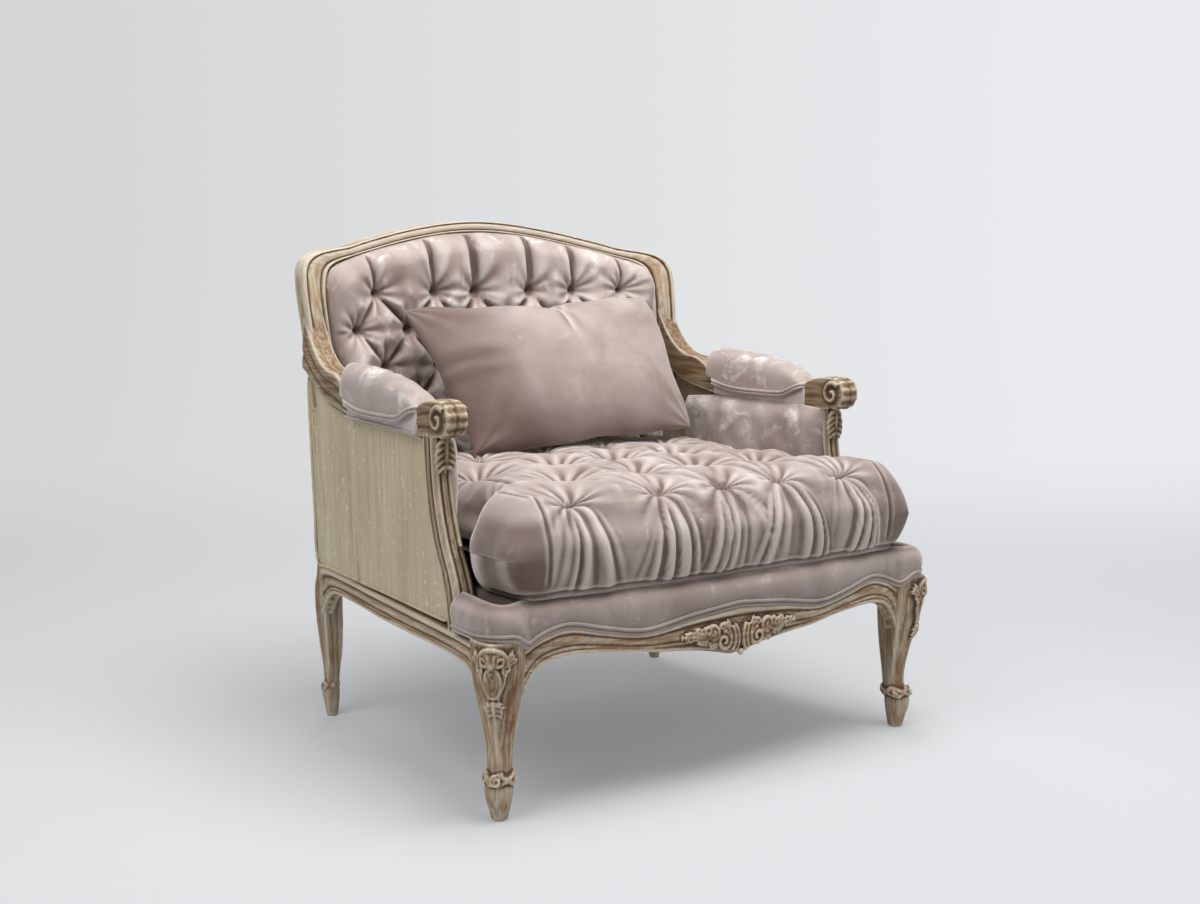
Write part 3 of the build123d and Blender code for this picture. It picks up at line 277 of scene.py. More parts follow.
def shade_recesses(obj, rounds=14, depth=0.9, patina_and_painted_light=0.0):
    """Keeps how deep each point lies in a recess, for the finishes to darken, and for the velvet to
    lighten ridges as painted highlight; the last argument adds to it: patina on the carved wood,
    and painted shade and highlight on the velvet.
    """
    mesh = obj.data
    mesh.update()
    co = points_of(mesh)
    normal = np.zeros(len(co) * 3)
    mesh.vertex_normals.foreach_get("vector", normal)
    edge = edges_of(mesh)
    sunk = ((relaxed(co, edge, rounds) - co) * normal.reshape(-1, 3)).sum(1) * 1000 / depth
    sunk = relaxed(sunk[:, None], edge, 1)[:, 0]
    level = np.clip(0.5 + 0.5 * sunk + np.ravel(patina_and_painted_light), 0, 1)
    layer = mesh.attributes.new("hollow", "FLOAT", "POINT")
    layer.data.foreach_set("value", level.astype(np.float32))


def pad(name, shells, material, nodes, body="chair",
        rounds=6, depth=2.2, patina_and_painted_light=0.0):
    """A soft piece, with the depths of its recesses kept for its finish."""
    obj = piece(name, shells, material, nodes, body)
    shade_recesses(obj, rounds, depth, patina_and_painted_light)


# Finishes

def srgb(*colour):
    """A linear colour from levels of 0 to 255."""
    shares = [level / 255 for level in colour]
    return tuple(c / 12.92 if c <= 0.04045 else ((c + 0.055) / 1.055) ** 2.4 for c in shares) + (1,)


class Nodes:
    """The nodes of a material or a world, added and joined by short calls."""

    def __init__(self, owner):
        self.owner = owner
        owner.use_nodes = True
        self.tree = owner.node_tree

    def feed(self, socket, value):
        """Sets a socket, or joins it to an output."""
        if isinstance(value, (int, float, tuple)):
            socket.default_value = value
        else:
            self.tree.links.new(value, socket)

    def add(self, kind, **values):
        node = self.tree.nodes.new("ShaderNode" + kind)
        for key, value in values.items():
            if hasattr(node, key):
                setattr(node, key, value)
            else:
                self.feed(node.inputs[key], value)
        return node

    def noise(self, scale, stretch=(1, 1, 1), detail=4, rough=0.55, distortion=0.0):
        """A noise on the object's own coordinates, stretched along an axis."""
        where = self.add("TexCoord").outputs["Object"]
        place = self.add("Mapping", Vector=where, Scale=stretch).outputs["Vector"]
        return self.add("TexNoise", Vector=place, Scale=scale, Detail=detail, Roughness=rough,
                        Distortion=distortion).outputs[0]

    def hollow(self):
        """How deep a point lies in a recess, as shade_recesses kept it."""
        return self.add("Attribute", attribute_name="hollow").outputs["Fac"]

    def ramp(self, value, stops):
        """A value turned into greys or colours by (place, level or colour) stops."""
        node = self.add("ValToRGB")
        elements = node.color_ramp.elements
        while len(elements) < len(stops):
            elements.new(0.5)
        for element, (place, level) in zip(elements, stops):
            element.position = place
            element.color = level if isinstance(level, tuple) else (level,) * 3 + (1,)
        self.feed(node.inputs[0], value)
        return node.outputs[0]

    def mix(self, share, a, b):
        node = self.add("Mix", data_type="RGBA")
        for value, socket in ((share, node.inputs[0]), (a, node.inputs[6]), (b, node.inputs[7])):
            self.feed(socket, value)
        return node.outputs[2]

    def tint(self, base, value, stops, colour):
        """A base turned towards a colour as far as a ramp of the value says."""
        return self.mix(self.ramp(value, stops), base, srgb(*colour))

    def bump(self, height, distance, strength, below=None):
        node = self.add("Bump", Height=height, Distance=distance, Strength=strength)
        if below is not None:
            self.feed(node.inputs["Normal"], below)
        return node.outputs[0]

    def math(self, operation, *values):
        node = self.add("Math", operation=operation)
        for socket, value in zip(node.inputs, values):
            self.feed(socket, value)
        return node.outputs[0]

    def seen(self):
        """1 where the camera sees, in a gloss too, and 0 for light on other things."""
        rays = self.add("LightPath").outputs
        return self.math("MAXIMUM", rays["Is Camera Ray"], rays["Is Glossy Ray"])

    def principled(self, **values):
        """Feeds the main shader's inputs, with _ for each space."""
        shader = self.tree.nodes["Principled BSDF"]
        for key, value in values.items():
            self.feed(shader.inputs[key.replace("_", " ")], value)
        return self.owner

    def surface(self, share, lit, shown):
        """Ends the tree with a mix of two shaders."""
        node = self.add("MixShader")
        for socket, value in zip(node.inputs, (share, lit, shown)):
            self.feed(socket, value)
        end = next(n for n in self.tree.nodes if n.type.startswith("OUTPUT"))
        self.feed(end.inputs["Surface"], node.outputs[0])


OAK = {"tan": (158, 126, 88), "wash": (194, 184, 164), "brown": (120, 85, 52)}
WORN_OAK = {"tan": (128, 98, 66), "wash": (170, 152, 124), "brown": (96, 68, 42)}
PILE = ((144, 128, 121), (182, 169, 163), (230, 224, 221))


def limed_wood(name, grain, oak):
    """Weathered oak: pale streaks along the grain, brown where rubbed, dark in recesses."""
    n = Nodes(bpy.data.materials.new(name))
    along = lambda share: tuple(share if axis == grain else 1.0 for axis in "xyz")
    streak = n.noise(150, along(0.05), 5, 0.62)
    fine = n.noise(420, along(0.06), 3, 0.6)
    patch = n.noise(16, along(0.3), 4, 0.6, 0.4)
    hollow = n.hollow()
    base = n.tint(srgb(*oak["brown"]), patch, [(0.34, 0), (0.62, 1)], oak["tan"])
    washed = n.tint(base, streak, [(0.42, 0), (0.62, 0.95)], oak["wash"])
    base = n.mix(n.ramp(patch, [(0.3, 0.45), (0.6, 1)]), base, washed)
    base = n.tint(base, fine, [(0.3, 0.6), (0.43, 0)], (84, 60, 38))
    base = n.tint(base, hollow, [(0.04, 0.6), (0.4, 0)], (212, 205, 190))
    base = n.tint(base, hollow, [(0.53, 0), (0.64, 0.62), (0.92, 0.97)], (76, 55, 38))
    return n.principled(
        Base_Color=base, Specular_IOR_Level=0.35,
        Roughness=n.ramp(streak, [(0.3, 0.5), (0.7, 0.74)]),
        Normal=n.bump(fine, 0.0006, 0.5, n.bump(streak, 0.0012, 0.6)))


def painted_panel():
    """Cream paint over timber, worn through in upright streaks and flecks."""
    n = Nodes(bpy.data.materials.new("painted_panel_finish"))
    streak = n.noise(60, (1, 1, 0.07), 5, 0.6)
    rust = n.noise(36, (1, 1, 0.05), 3, 0.5)
    fleck = n.noise(150, (1, 1, 0.45), 4, 0.7)
    cloud = n.noise(5, (1, 1, 0.5), 3, 0.5)
    base = n.tint(srgb(188, 174, 145), streak, [(0.35, 0), (0.7, 1)], (208, 197, 170))
    base = n.tint(base, cloud, [(0.4, 0), (0.7, 0.5)], (176, 158, 126))
    base = n.tint(base, rust, [(0.59, 0), (0.69, 0.65)], (160, 118, 88))
    base = n.tint(base, fleck, [(0.61, 0), (0.66, 0.9)], (234, 229, 216))
    base = n.tint(base, n.hollow(), [(0.56, 0), (0.85, 0.8)], (104, 84, 62))
    return n.principled(
        Base_Color=base, Roughness=0.62, Specular_IOR_Level=0.3,
        Normal=n.bump(fleck, 0.0005, 0.4, n.bump(streak, 0.0014, 0.5)))


def velvet(name, crush, stretch=(1, 1, 1), painted_lightness=1.0):
    """Crushed velvet: a mauve-grey pile that turns silvery where it is brushed, with painted
    highlights on ridges and painted shade in hollows.
    """
    n = Nodes(bpy.data.materials.new(name))
    # The last argument scales all three colours; above 1 it makes a lighter copy as painted light.
    dark, pale, silver = [tuple(c * painted_lightness for c in colour) for colour in PILE]
    cloud = n.noise(7, stretch, 4, 0.55, 0.4)
    brushed = n.noise(26, stretch, 6, 0.62, 0.5)
    wisp = n.noise(85, stretch, 4, 0.6, 0.3)
    pile = n.noise(900, (1, 1, 1), 2, 0.5)
    hollow = n.hollow()
    start = 0.66 - 0.16 * crush
    base = n.tint(srgb(*dark), cloud, [(0.3, 0), (0.7, 1)], pale)
    silvered = n.tint(base, brushed, [(start, 0), (start + 0.14, 0.3 + 0.65 * crush)], silver)
    base = n.mix(n.ramp(wisp, [(0.36, 0.25), (0.64, 1)]), base, silvered)
    # Painted highlight: ridges and puff crests lighter.
    base = n.tint(base, hollow, [(0.0, 0.6), (0.46, 0)], (216, 208, 203))
    # Painted shade: hollows and creases darker, together with the painted shade each piece adds.
    base = n.tint(base, hollow, [(0.54, 0), (0.95, 0.78)], (88, 67, 60))
    return n.principled(
        Base_Color=base, Roughness=0.78, Specular_IOR_Level=0.18,
        Sheen_Weight=0.9, Sheen_Roughness=0.38, Sheen_Tint=srgb(240, 232, 228),
        Normal=n.bump(pile, 0.0004, 0.35, n.bump(brushed, 0.0016, 0.3)))


def plain(name, colour, rough, scale, metal=0.0):
    """A quiet finish for the pieces inside and under the chair."""
    n = Nodes(bpy.data.materials.new(name))
    weave = n.noise(scale, (1, 1, 1), 4, 0.6)
    dark = tuple(0.72 * c for c in colour)
    return n.principled(
        Base_Color=n.mix(weave, srgb(*dark), srgb(*colour)), Roughness=rough, Metallic=metal,
        Normal=n.bump(weave, 0.0006, 0.5))


WOOD = {axis: limed_wood("limed_wood_" + axis, axis, OAK) for axis in "xyz"}
WORN = {axis: limed_wood("limed_wood_worn_" + axis, axis, WORN_OAK) for axis in "yz"}
PANEL = painted_panel()
VELVET = velvet("velvet_tufted", 0.42)
BRUSHED = velvet("velvet_brushed", 0.95, (1, 0.6, 0.7))
SMOOTH = velvet("velvet_smooth", 0.12)
DECK = plain("deck_finish", (126, 110, 102), 0.9, 700)
# The back's velvet: crushed more, and 6% lighter overall as painted light.
SILVERED_AND_LIT = velvet("velvet_silvered_and_painted_lighter", 0.7, (1, 1, 0.6), 1.06)

# Show-wood: outlines in (outer x, outer z, inner x, inner z), faces in (share across, rise)

LEFT_FRAME = [
    (438, 610, 384, 610), (441, 690, 388, 690), (446, 766, 393, 766), (450, 826, 395, 818),
    (450, 857, 394, 845), (447, 880, 390, 864), (436, 899, 382, 880), (415, 911, 370, 890),
    (385, 918, 350, 898), (329, 926, 316, 907), (279, 939, 275, 917), (190, 959, 186, 937),
    (112, 972, 110, 950), (55, 978.5, 54, 956), (0, 981, 0, 958),
]
FRAME_FACE = [
    (0, -30), (0, -6), (0.03, 2), (0.09, 4.5), (0.15, 3.5), (0.185, -1), (0.22, 1.5), (0.34, 3.4),
    (0.5, 4), (0.66, 3.2), (0.76, 1), (0.8, -1.5), (0.84, 2), (0.9, 4), (0.96, 2), (1, -5),
    (1, -28), (0.93, -34), (0.07, -34),
]


def back_frame():
    """Crest and posts as one moulded band round the tufted back."""
    half = [(-a, b, -c, d) for a, b, c, d in LEFT_FRAME]
    whole = half + [(-a, b, -c, d) for a, b, c, d in reversed(half[:-1])]
    rows = []
    for xo, zo, xi, zi in curve(whole, 360):
        row = []
        for share, rise in FRAME_FACE:
            x = xo + (xi - xo) * share
            z = zo + (zi - zo) * share
            row.append((x, back_y(x, z) - rise, z))
        rows.append(row)
    return bar(rows, 64)


# Legs and arm supports, through (x, y, z, half width, half depth) stations

FRONT_LEG = [
    (-453, 0, 0, 12, 12), (-453, 0, 8, 14.5, 14.5), (-454, -1, 26, 18.5, 18.5),
    (-455, -2, 46, 22.5, 22.5), (-454, -1, 62, 22, 22), (-450, 3, 80, 19.5, 19.5),
    (-449, 4, 100, 19.5, 19.5), (-449, 4, 125, 21, 21), (-450, 2, 165, 25.5, 25.5),
    (-453, 0, 205, 31, 31), (-456, -3, 245, 36, 36), (-456, -3, 275, 37.5, 37.5),
    (-456, -3, 300, 38, 38),
]
REAR_LEG = [
    (-404, 704, 0, 10, 10), (-404, 705, 10, 12, 12), (-404, 706, 30, 14.5, 14.5),
    (-405, 707, 46, 16.5, 16.5), (-404, 704, 66, 14, 14), (-404, 703, 100, 15.5, 16),
    (-404, 703, 131, 18.5, 18.5), (-406, 704, 195, 21.5, 22), (-407, 704, 255, 22.5, 23),
    (-404, 700, 300, 22.5, 21), (-402, 698, 400, 23, 19), (-406, 697, 606, 22, 19),
    (-413, 700, 705, 24, 19),
]
SUPPORT = [
    (-446, 201, 612, 20, 21), (-446, 200, 580, 19.5, 20), (-446, 192, 510, 19.5, 20),
    (-446, 171, 437, 20, 21), (-446, 138, 368, 20.5, 22), (-446, 121, 300, 21, 24),
    (-446, 119, 286, 22, 25),
]
KNEE, ANKLE = 246, 71
CORNER_STRETCH = 1.16
ANKLE_GIRTH = CORNER_STRETCH * 21
KNEE_ARCHES = ((27, 25, 4.6), (19, 17, 3.2))
KNEE_OVALS = ((13, 25, 3.6), (7.5, 18, 2))
ANKLE_COLLARS = ((75, 3.5, 4.2), (66, -2.5, 3.4))


def squared(c, s, power):
    """Reach of a rounded square in the direction (c, s)."""
    return (abs(c) ** power + abs(s) ** power) ** (-1 / power)


def upright(stations, power, face, count=120, sides=88):
    """A post through stations, with a pattern worked along its faces."""
    angle = np.linspace(0, 2 * pi, sides, endpoint=False)
    c, s = cos(angle), sin(angle)
    rows = []
    for x, y, z, a, b in curve(stations, count):
        r = squared(c, s, power(z))
        u, v = r * c, r * s
        lift = face(u, v, z)
        rows.append(xyz(x + u * (a + lift), y + v * (b + lift), z))
    return grid(rows)


def leg_face(u, v, z):
    """A sunk panel on each face of a leg, with a bead along the corners."""
    across = np.minimum(abs(u), abs(v))
    tall = soft_step(z, 96, 125) * fade(z, 262, 285)
    sunk = fade(across, 0.5, 0.62)
    bead = bell(across, 0.8, 0.09)
    return tall * (-2.6 * sunk - 1.6 * bell(across, 0.66, 0.05) + 0.8 * bead)


def support_face(u, v, z):
    """Reeds along an arm support."""
    nearer = np.where(abs(u) < abs(v), u, v)
    across = np.minimum(abs(u), abs(v)) * np.sign(nearer)
    reeds = bell(across, -0.36, 0.1) + bell(across, 0.36, 0.1)
    return -3.2 * reeds - 1.2 * bell(abs(across), 0.78, 0.06)


def front_leg_power(z):
    """How square a front leg is: nearly round at the ankle, squarer at the knee."""
    return 2.3 + 1.6 * soft_step(z, 70, 200)


# Carving: a place maps points (across, up, out) on a surface to the chair

def shifted(place, across, up, out):
    """The same surface, counted from another spot."""
    return lambda points: place(points + [across, up, out])


def strand(place, across, up, out, thick):
    """A carved strand laid on a surface."""
    return moved(tube(xyz(across, up, out), thick), place)


def scroll(place, radius, turns, thick, hand=1, start=0.0, end=0.12):
    """A C-scroll on a surface."""
    t = np.linspace(0, 1, 46)
    r = radius * (1 - t) ** 0.9 + radius * end
    angle = start + hand * 2 * pi * turns * t
    out = thick * (0.3 + 0.6 * t)
    return strand(place, r * cos(angle), r * sin(angle), out, thick * (1 - 0.35 * t))


def leaf(place, root, angle, length, width, lobes):
    """An acanthus leaf on a surface: a rib with curling lobes at both sides."""
    t = np.linspace(0, 1, 14)
    s = np.linspace(0, 1, 9)
    ahead = np.array([cos(angle), sin(angle)])
    side = np.array([-ahead[1], ahead[0]])
    rib = np.asarray(root) + np.outer(t * length, ahead)
    shells = [strand(place, *rib.T, 3.5 * sin(pi * t) + 1, width * 0.2 * (1.15 - 0.8 * t))]
    for k in range(lobes):
        base = (k + 0.4) / (lobes + 0.6)
        reach = width * 0.62 * sin(pi * (0.25 + 0.65 * base))
        on = length * base + reach * 0.9 * s ** 1.6
        for hand in (1, -1):
            out = hand * reach * sin(s * pi / 2)
            lobe = np.asarray(root) + np.outer(on, ahead) + np.outer(out, side)
            thick = width * 0.17 * (1.1 - 0.6 * s)
            shells.append(strand(place, *lobe.T, 1.2 + 2.6 * sin(pi * s), thick))
    return shells


def front_leg_skin(height):
    """Across runs round a front leg from its outer corner, and up from a height."""
    steps = np.array(FRONT_LEG, float)

    def place(points):
        across, up, out = points.T
        z = height + up
        x, y, half = (np.interp(z, steps[:, 2], steps[:, k]) for k in (0, 1, 3))
        angle = 1.25 * pi + across / (CORNER_STRETCH * half)
        c, s = cos(angle), sin(angle)
        reach = half * squared(c, s, front_leg_power(z)) + out
        return xyz(x + reach * c, y + reach * s, z)

    return place


def front_legs():
    """Left front leg with its carved knee and ankle."""
    shells = [upright(FRONT_LEG, front_leg_power, leg_face, 150, 96)]
    knee, ankle = front_leg_skin(KNEE), front_leg_skin(ANKLE)
    arch = np.linspace(0, pi, 30)
    for wide, tall, thick in KNEE_ARCHES:
        shells.append(strand(knee, wide * cos(arch), 20 + tall * sin(arch), 2, thick))
    fall = np.linspace(0, 1, 20)
    for hand in (-1, 1):
        shells.append(scroll(shifted(knee, hand * 13, 27, 1), 10, 1.3, 4.2, hand, pi / 2))
        shells.append(scroll(shifted(knee, hand * 26, 12, 0), 8, 1.2, 3.6, -hand, -pi / 2))
        shells += leaf(knee, (hand * 25, 22), pi / 2 - hand * 1.0, 22, 15, 3)
        strap = hand * (19 - 9 * fall + 4 * sin(2 * pi * fall))
        shells.append(strand(knee, strap, 10 - 62 * fall, 1, 3.4 - 1.6 * fall))
        shells += leaf(knee, (hand * 6, -42), -pi / 2 + hand * 0.45, 20, 13, 2)
    oval = np.linspace(0, 2 * pi, 41)
    for wide, tall, thick in KNEE_OVALS:
        shells.append(strand(knee, wide * cos(oval), -10 + tall * sin(oval), 1, thick))
    shells.append(moved(ball((0, 20, 2), (6, 7, 6)), knee))
    shells += leaf(knee, (0, -42), -pi / 2, 30, 20, 3)

    turn = np.linspace(0, 2 * pi, 81)
    for height, wave, thick in ANKLE_COLLARS:
        collar = front_leg_skin(height)
        shells.append(strand(collar, ANKLE_GIRTH * turn, wave * cos(4 * turn), 1.5, thick))
    for k in range(8):
        size = 7.6 if k % 2 == 0 else 5.2
        shells.append(moved(ball((ANKLE_GIRTH * pi / 4 * k, 0, 0), (size, size, size)), ankle))
    shells.append(scroll(shifted(ankle, 0, 0, 6), 8, 1.4, 2.6, 1, pi / 2))
    return shells


def rear_legs():
    """Left rear leg and stile, with knobs at the knee, and beads and a scroll at the ankle."""
    power = lambda z: 2.4 + 2.2 * soft_step(z, 60, 190)
    shells = [upright(REAR_LEG, power, leg_face, 170, 72)]
    shells += [ball((-410, 724, 290), (11, 9, 11)), ball((-410, 724, 272), (7, 6, 6))]
    for angle in 2 * pi * np.arange(7) / 7:
        bead = (-404 + 14 * cos(angle), 705 + 14 * sin(angle), 64)
        shells.append(ball(bead, (4.6, 4.6, 5)))
    outside = lambda p: xyz(-419 - p[:, 2], LEG_SPAN + p[:, 0], 60 + p[:, 1])
    shells.append(scroll(outside, 11, 1.3, 3.2, 1, -pi / 2))
    return shells


def arm_support():
    """Left arm support."""
    return [upright(SUPPORT, lambda z: 4.5, support_face)]


# Arms, with an outline in (top y, top z, bottom y, bottom z)

ARM = [
    (704, 800, 716, 690), (690, 772, 704, 686), (664, 736, 672, 668), (634, 709, 643, 654),
    (602, 695, 614, 638), (566, 689, 577, 629), (530, 668, 540, 622), (500, 646, 503, 616),
    (430, 634, 430, 613), (302, 632, 302, 610), (262, 645, 258, 606), (228, 660, 228, 604),
    (195, 668, 195, 604), (165, 668, 172, 606),
]
ARM_WIDE = 42
ARM_OUTSIDE = [
    (0, 4), (0.04, 0.5), (0.2, -1), (0.3, -0.4), (0.34, 2), (0.38, 0), (0.55, -1.5), (0.68, 0),
    (0.72, 2.2), (0.76, 0), (0.88, -1), (0.97, 0.5), (1, 4),
]
ARM_INSIDE = [(1, 4), (0.97, 0.5), (0.5, 0), (0.03, 0.5), (0, 4)]
HAND_Y, HAND_Z = 161, 637
HAND_DRUM = [
    (-467, 0.0), (-467, 0.6), (-466, 0.93), (-462, 1), (-452, 1.0), (-446, 0.95), (-440, 1.0),
    (-430, 1.0), (-425, 0.93), (-424, 0.6), (-424, 0.0),
]


def arm_outer(y):
    """Outer face of the left arm, which draws in towards the back."""
    return -(467 - 18 * (y - 129) / 560)


def arms():
    """Left arm: swept shoulder, saddle under the pad, and a scrolled hand."""
    rows = []
    for yt, zt, yb, zb in curve(ARM, 150):
        row = []
        for face, base, inward in ((ARM_OUTSIDE, 0, 1), (ARM_INSIDE, ARM_WIDE, -1)):
            for share, inset in face:
                y = yt + (yb - yt) * share
                row.append((arm_outer(y) + base + inward * inset, y, zt + (zb - zt) * share))
        rows.append(row)
    shells = [bar(rows, 72)]
    angle = np.linspace(0, 2 * pi, 73)[:-1]
    rim = 31 + 1.3 * cos(11 * angle)
    drum = [
        xyz(x, HAND_Y + share * rim * cos(angle), HAND_Z + share * rim * sin(angle))
        for x, share in HAND_DRUM]
    shells.append(grid(drum, caps=False))
    for x, hand in ((-466, 1), (-425, -1)):
        side = lambda p: xyz(x - hand * p[:, 2], HAND_Y + p[:, 0], HAND_Z + p[:, 1])
        shells.append(scroll(side, 21, 1.2, 5, -1, pi * 0.75, 0.1))
        shells.append(ball((x, HAND_Y, HAND_Z), (4.5, 6, 6)))
    under = lambda p: xyz(-445.5 + p[:, 0], 176 - p[:, 2], 606 + p[:, 1])
    return shells + leaf(under, (0, 0), -pi / 2, 62, 30, 5)


# Rails, with edges in (distance along, height)

LOWER_EDGE = [
    (0, 222), (65, 235), (125, 242), (180, 247), (225, 254), (270, 259), (330, 262), (375, 257),
    (400, 243), (418, 214), (425, 196),
]
SIDE_LOWER = [
    (30, 214), (48, 236), (80, 247), (150, 252), (260, 253), (400, 255), (520, 261), (610, 262),
    (650, 252), (676, 226), (690, 205),
]
WELT = [
    (0, 305), (100, 295), (196, 281), (270, 292), (339, 307), (385, 298), (418, 285), (440, 284)]
RAIL_FACE = [
    (0, -28), (0, -4), (0.03, 2), (0.1, 5), (0.17, 3), (0.2, 0), (0.25, 2), (0.45, 3.4), (0.6, 2),
    (0.64, -0.6), (0.7, 2.6), (0.76, 3), (0.8, 0), (0.86, 3.4), (0.94, 3.6), (0.99, 0), (1, -6),
    (1, -28),
]
# Half of the front carving: (at, tall, thick), (at, up, radius, thick, turns, way)
# and (at, up, lean, length, width)
SHELL_RIBS = ((5, 25, 3.4), (13, 22, 3.8), (22, 17, 3.4))
RAIL_SCROLLS = (
    (38, -10, 15, 5, 1.5, 1), (62, 6, 13, 4.6, 1.4, -1), (88, -4, 10, 4, 1.3, 1),
    (40, 14, 8, 3.4, 1.2, -1),
)
RAIL_LEAVES = (
    (54, -4, 0.5, 26, 17), (76, 2, 0.1, 26, 17), (92, 1, 0.0, 30, 15), (108, 2, 0.05, 26, 11),
    (26, 10, 1.0, 17, 13), (50, -14, -0.2, 24, 13), (72, -12, 0.25, 26, 13),
)
FLOWER_AT, FLOWER_UP, FLOWER_RADIUS = 74, 9, 5.5


def rail_front(points):
    """Across runs along the front rail from its middle, and up from the carving's axis."""
    across, up, out = points.T
    away = abs(across)
    axis = 0.5 * (line(away, LOWER_EDGE) + line(away, WELT)) - 8 + 0.05 * np.minimum(away, 100)
    return xyz(across, rail_y(across) - 3.5 - out, axis + up)


def front_rail():
    """Front rail: a serpentine lower edge, reeded along its length, and its carving."""
    rows = []
    for x in np.linspace(-RAIL_HALF, RAIL_HALF, 320):
        top, low = line(abs(x), WELT), line(abs(x), LOWER_EDGE)
        rows.append([(x, rail_y(x) - rise, top + (low - top) * share) for share, rise in RAIL_FACE])
    shells = [bar(rows, 60), moved(ball((0, -4, -4), (122, 22, 8.5), 22), rail_front)]
    turn = np.linspace(-1, 1, 26)
    for hand in (-1, 1):
        for at, tall, thick in SHELL_RIBS:
            bowed = hand * (at + 0.3 * tall * turn ** 2)
            taper = thick * (1.1 - 0.4 * turn ** 2)
            shells.append(strand(rail_front, bowed, -5 + tall * turn, 4.5, taper))
        for at, up, radius, thick, turns, way in RAIL_SCROLLS:
            place = shifted(rail_front, hand * at, up, 1.5)
            shells.append(scroll(place, radius, turns, thick, way * hand, way * pi / 2))
        for at, up, lean, length, width in RAIL_LEAVES:
            angle = lean if hand > 0 else pi - lean
            place = shifted(rail_front, 0, 0, 1.5)
            shells += leaf(place, (hand * at, up), angle, length, width, 3)
        for angle in 2 * pi * np.arange(5) / 5:
            across = hand * FLOWER_AT + FLOWER_RADIUS * cos(angle)
            petal = ball((across, FLOWER_UP + FLOWER_RADIUS * sin(angle), 5), (4, 4, 4))
            shells.append(moved(petal, rail_front))
    shells.append(moved(ball((0, -30, 4), (7, 6, 5)), rail_front))
    return shells


def side_rails():
    """Left side rail: moulded, with its lower edge sweeping into the legs."""
    rows = []
    for y in np.linspace(28, 692, 240):
        x = -(478 - 52 * y / LEG_SPAN)
        top, low = 284 + 20 * y / LEG_SPAN, line(y, SIDE_LOWER)
        rows.append([(x - 0.8 * rise, y, top + (low - top) * share) for share, rise in RAIL_FACE])
    return [bar(rows, 52)]


def patina(name, points):
    """Where old carving has darkened: knees and ankles, hands, and the middle of the front rail."""
    x, y, z = points.T * 1000
    if name == "front_leg":
        return 0.06 * soft_step(z, 195, 215) + 0.1 * soft_step(z, 58, 64) * fade(z, 80, 86)
    if name == "arm_rail":
        return 0.07 * fade(y + DEPTH_CENTRE, 232, 250)
    if name == "front_rail":
        return 0.07 * fade(abs(x), 150, 175)
    return 0.0


# Name, shape, finish, voxel of the skin over its carving, and the nodes it stands for
SIDE_WOOD = [
    ("front_leg", front_legs, WOOD["z"], 1.5, ["front_leg", "knee_carving"]),
    ("back_post", rear_legs, WOOD["z"], 1.6, ["back_post"]),
    ("arm_rail", arms, WORN["y"], 1.5, ["arm_rail"]),
    ("side_rail", side_rails, WOOD["y"], 0, ["side_rail"]),
    ("arm_support", arm_support, WORN["z"], 0, ["arm_support"]),
]
POST_TOP, POST_INSIDE = 0.885, 0.36


def show_wood():
    obj = piece("back_frame_wood", [back_frame()], WOOD["x"], ["crest_rail"])
    obj.data.materials.append(WOOD["z"])
    for face in obj.data.polygons:
        face.material_index = int(face.center.z < POST_TOP and abs(face.center.x) > POST_INSIDE)
    shade_recesses(obj, 8, 0.8)
    for hand in ("left", "right"):
        for name, build, finish, voxel, nodes in SIDE_WOOD:
            replaced = [node + "_" + hand for node in nodes]
            shells = sided(build(), hand)
            obj = piece(name + "_wood_" + hand, shells, finish, replaced)
            if voxel:
                remeshed(obj, voxel)
            shade_recesses(obj, 14 if voxel else 8, patina_and_painted_light=patina(name, points_of(obj.data)))
    replaced = ["front_rail", "front_carving"]
    obj = piece("front_rail_wood", front_rail(), WOOD["x"], replaced)
    remeshed(obj, 1.5)
    shade_recesses(obj, patina_and_painted_light=patina("front_rail", points_of(obj.data)))


show_wood()

# Upholstery: how a cover is drawn in, and how its filling swells it

PLEAT_REACH = 150
PLEAT_DEPTH = 0.62
SIM_STEP = 3
SIM_FRAMES = 20


def noise_line(x, seed):
    """A smooth wandering value along a line, the same at every run."""
    return (sin(x / 31 + seed) + 0.6 * sin(x / 17 + 2.3 * seed)
            + 0.4 * sin(x / 9.5 + 4.1 * seed))


def normals_of(surface):
    across = np.gradient(surface, axis=0)
    along = np.gradient(surface, axis=1)
    n = np.cross(across, along)
    return n / (np.linalg.norm(n, axis=2)[:, :, None] + 1e-9)


def segment_distance(points, a, b):
    ab = b - a
    t = np.clip(((points - a) @ ab) / ab.dot(ab), 0, 1)
    return np.linalg.norm(points - a - t[:, None] * ab, axis=1)


def joined_rows(spots):
    """Pleats from each tuft to its neighbours in the next row."""
    pleats = []
    for row, below in zip(spots, spots[1:]):
        for a in row:
            near = sorted(below, key=lambda b: np.linalg.norm(b - a))[:2]
            pleats += [(a, b, PLEAT_DEPTH) for b in near if np.linalg.norm(b - a) < PLEAT_REACH]
    return pleats


def tuft_depth(surface, tufts, pleats, reach, crease):
    """How far a cover is drawn in, from 0 on a puff to 1 at a tuft, and the gathers round tufts."""
    flat = surface.reshape(-1, 3)
    drawn = np.zeros(len(flat))
    for a, b, strength in pleats:
        drawn = np.maximum(drawn, strength * exp(-segment_distance(flat, a, b) / crease))
    gathers = np.zeros(len(flat))
    for k, (spot, right, up, ways) in enumerate(tufts):
        away = flat - spot
        far = np.linalg.norm(away, axis=1)
        drawn = np.maximum(drawn, exp(-(far / reach) ** 0.9))
        angle = np.arctan2(away @ up, away @ right)
        wave = sin(ways * angle + 0.8 * sin(3 * angle + k) + 1.7 * k)
        gathers += wave * exp(-far / (1.5 * reach)) * np.clip((far - 3) / 17, 0, 1)
    return drawn.reshape(surface.shape[:2]), gathers.reshape(surface.shape[:2])


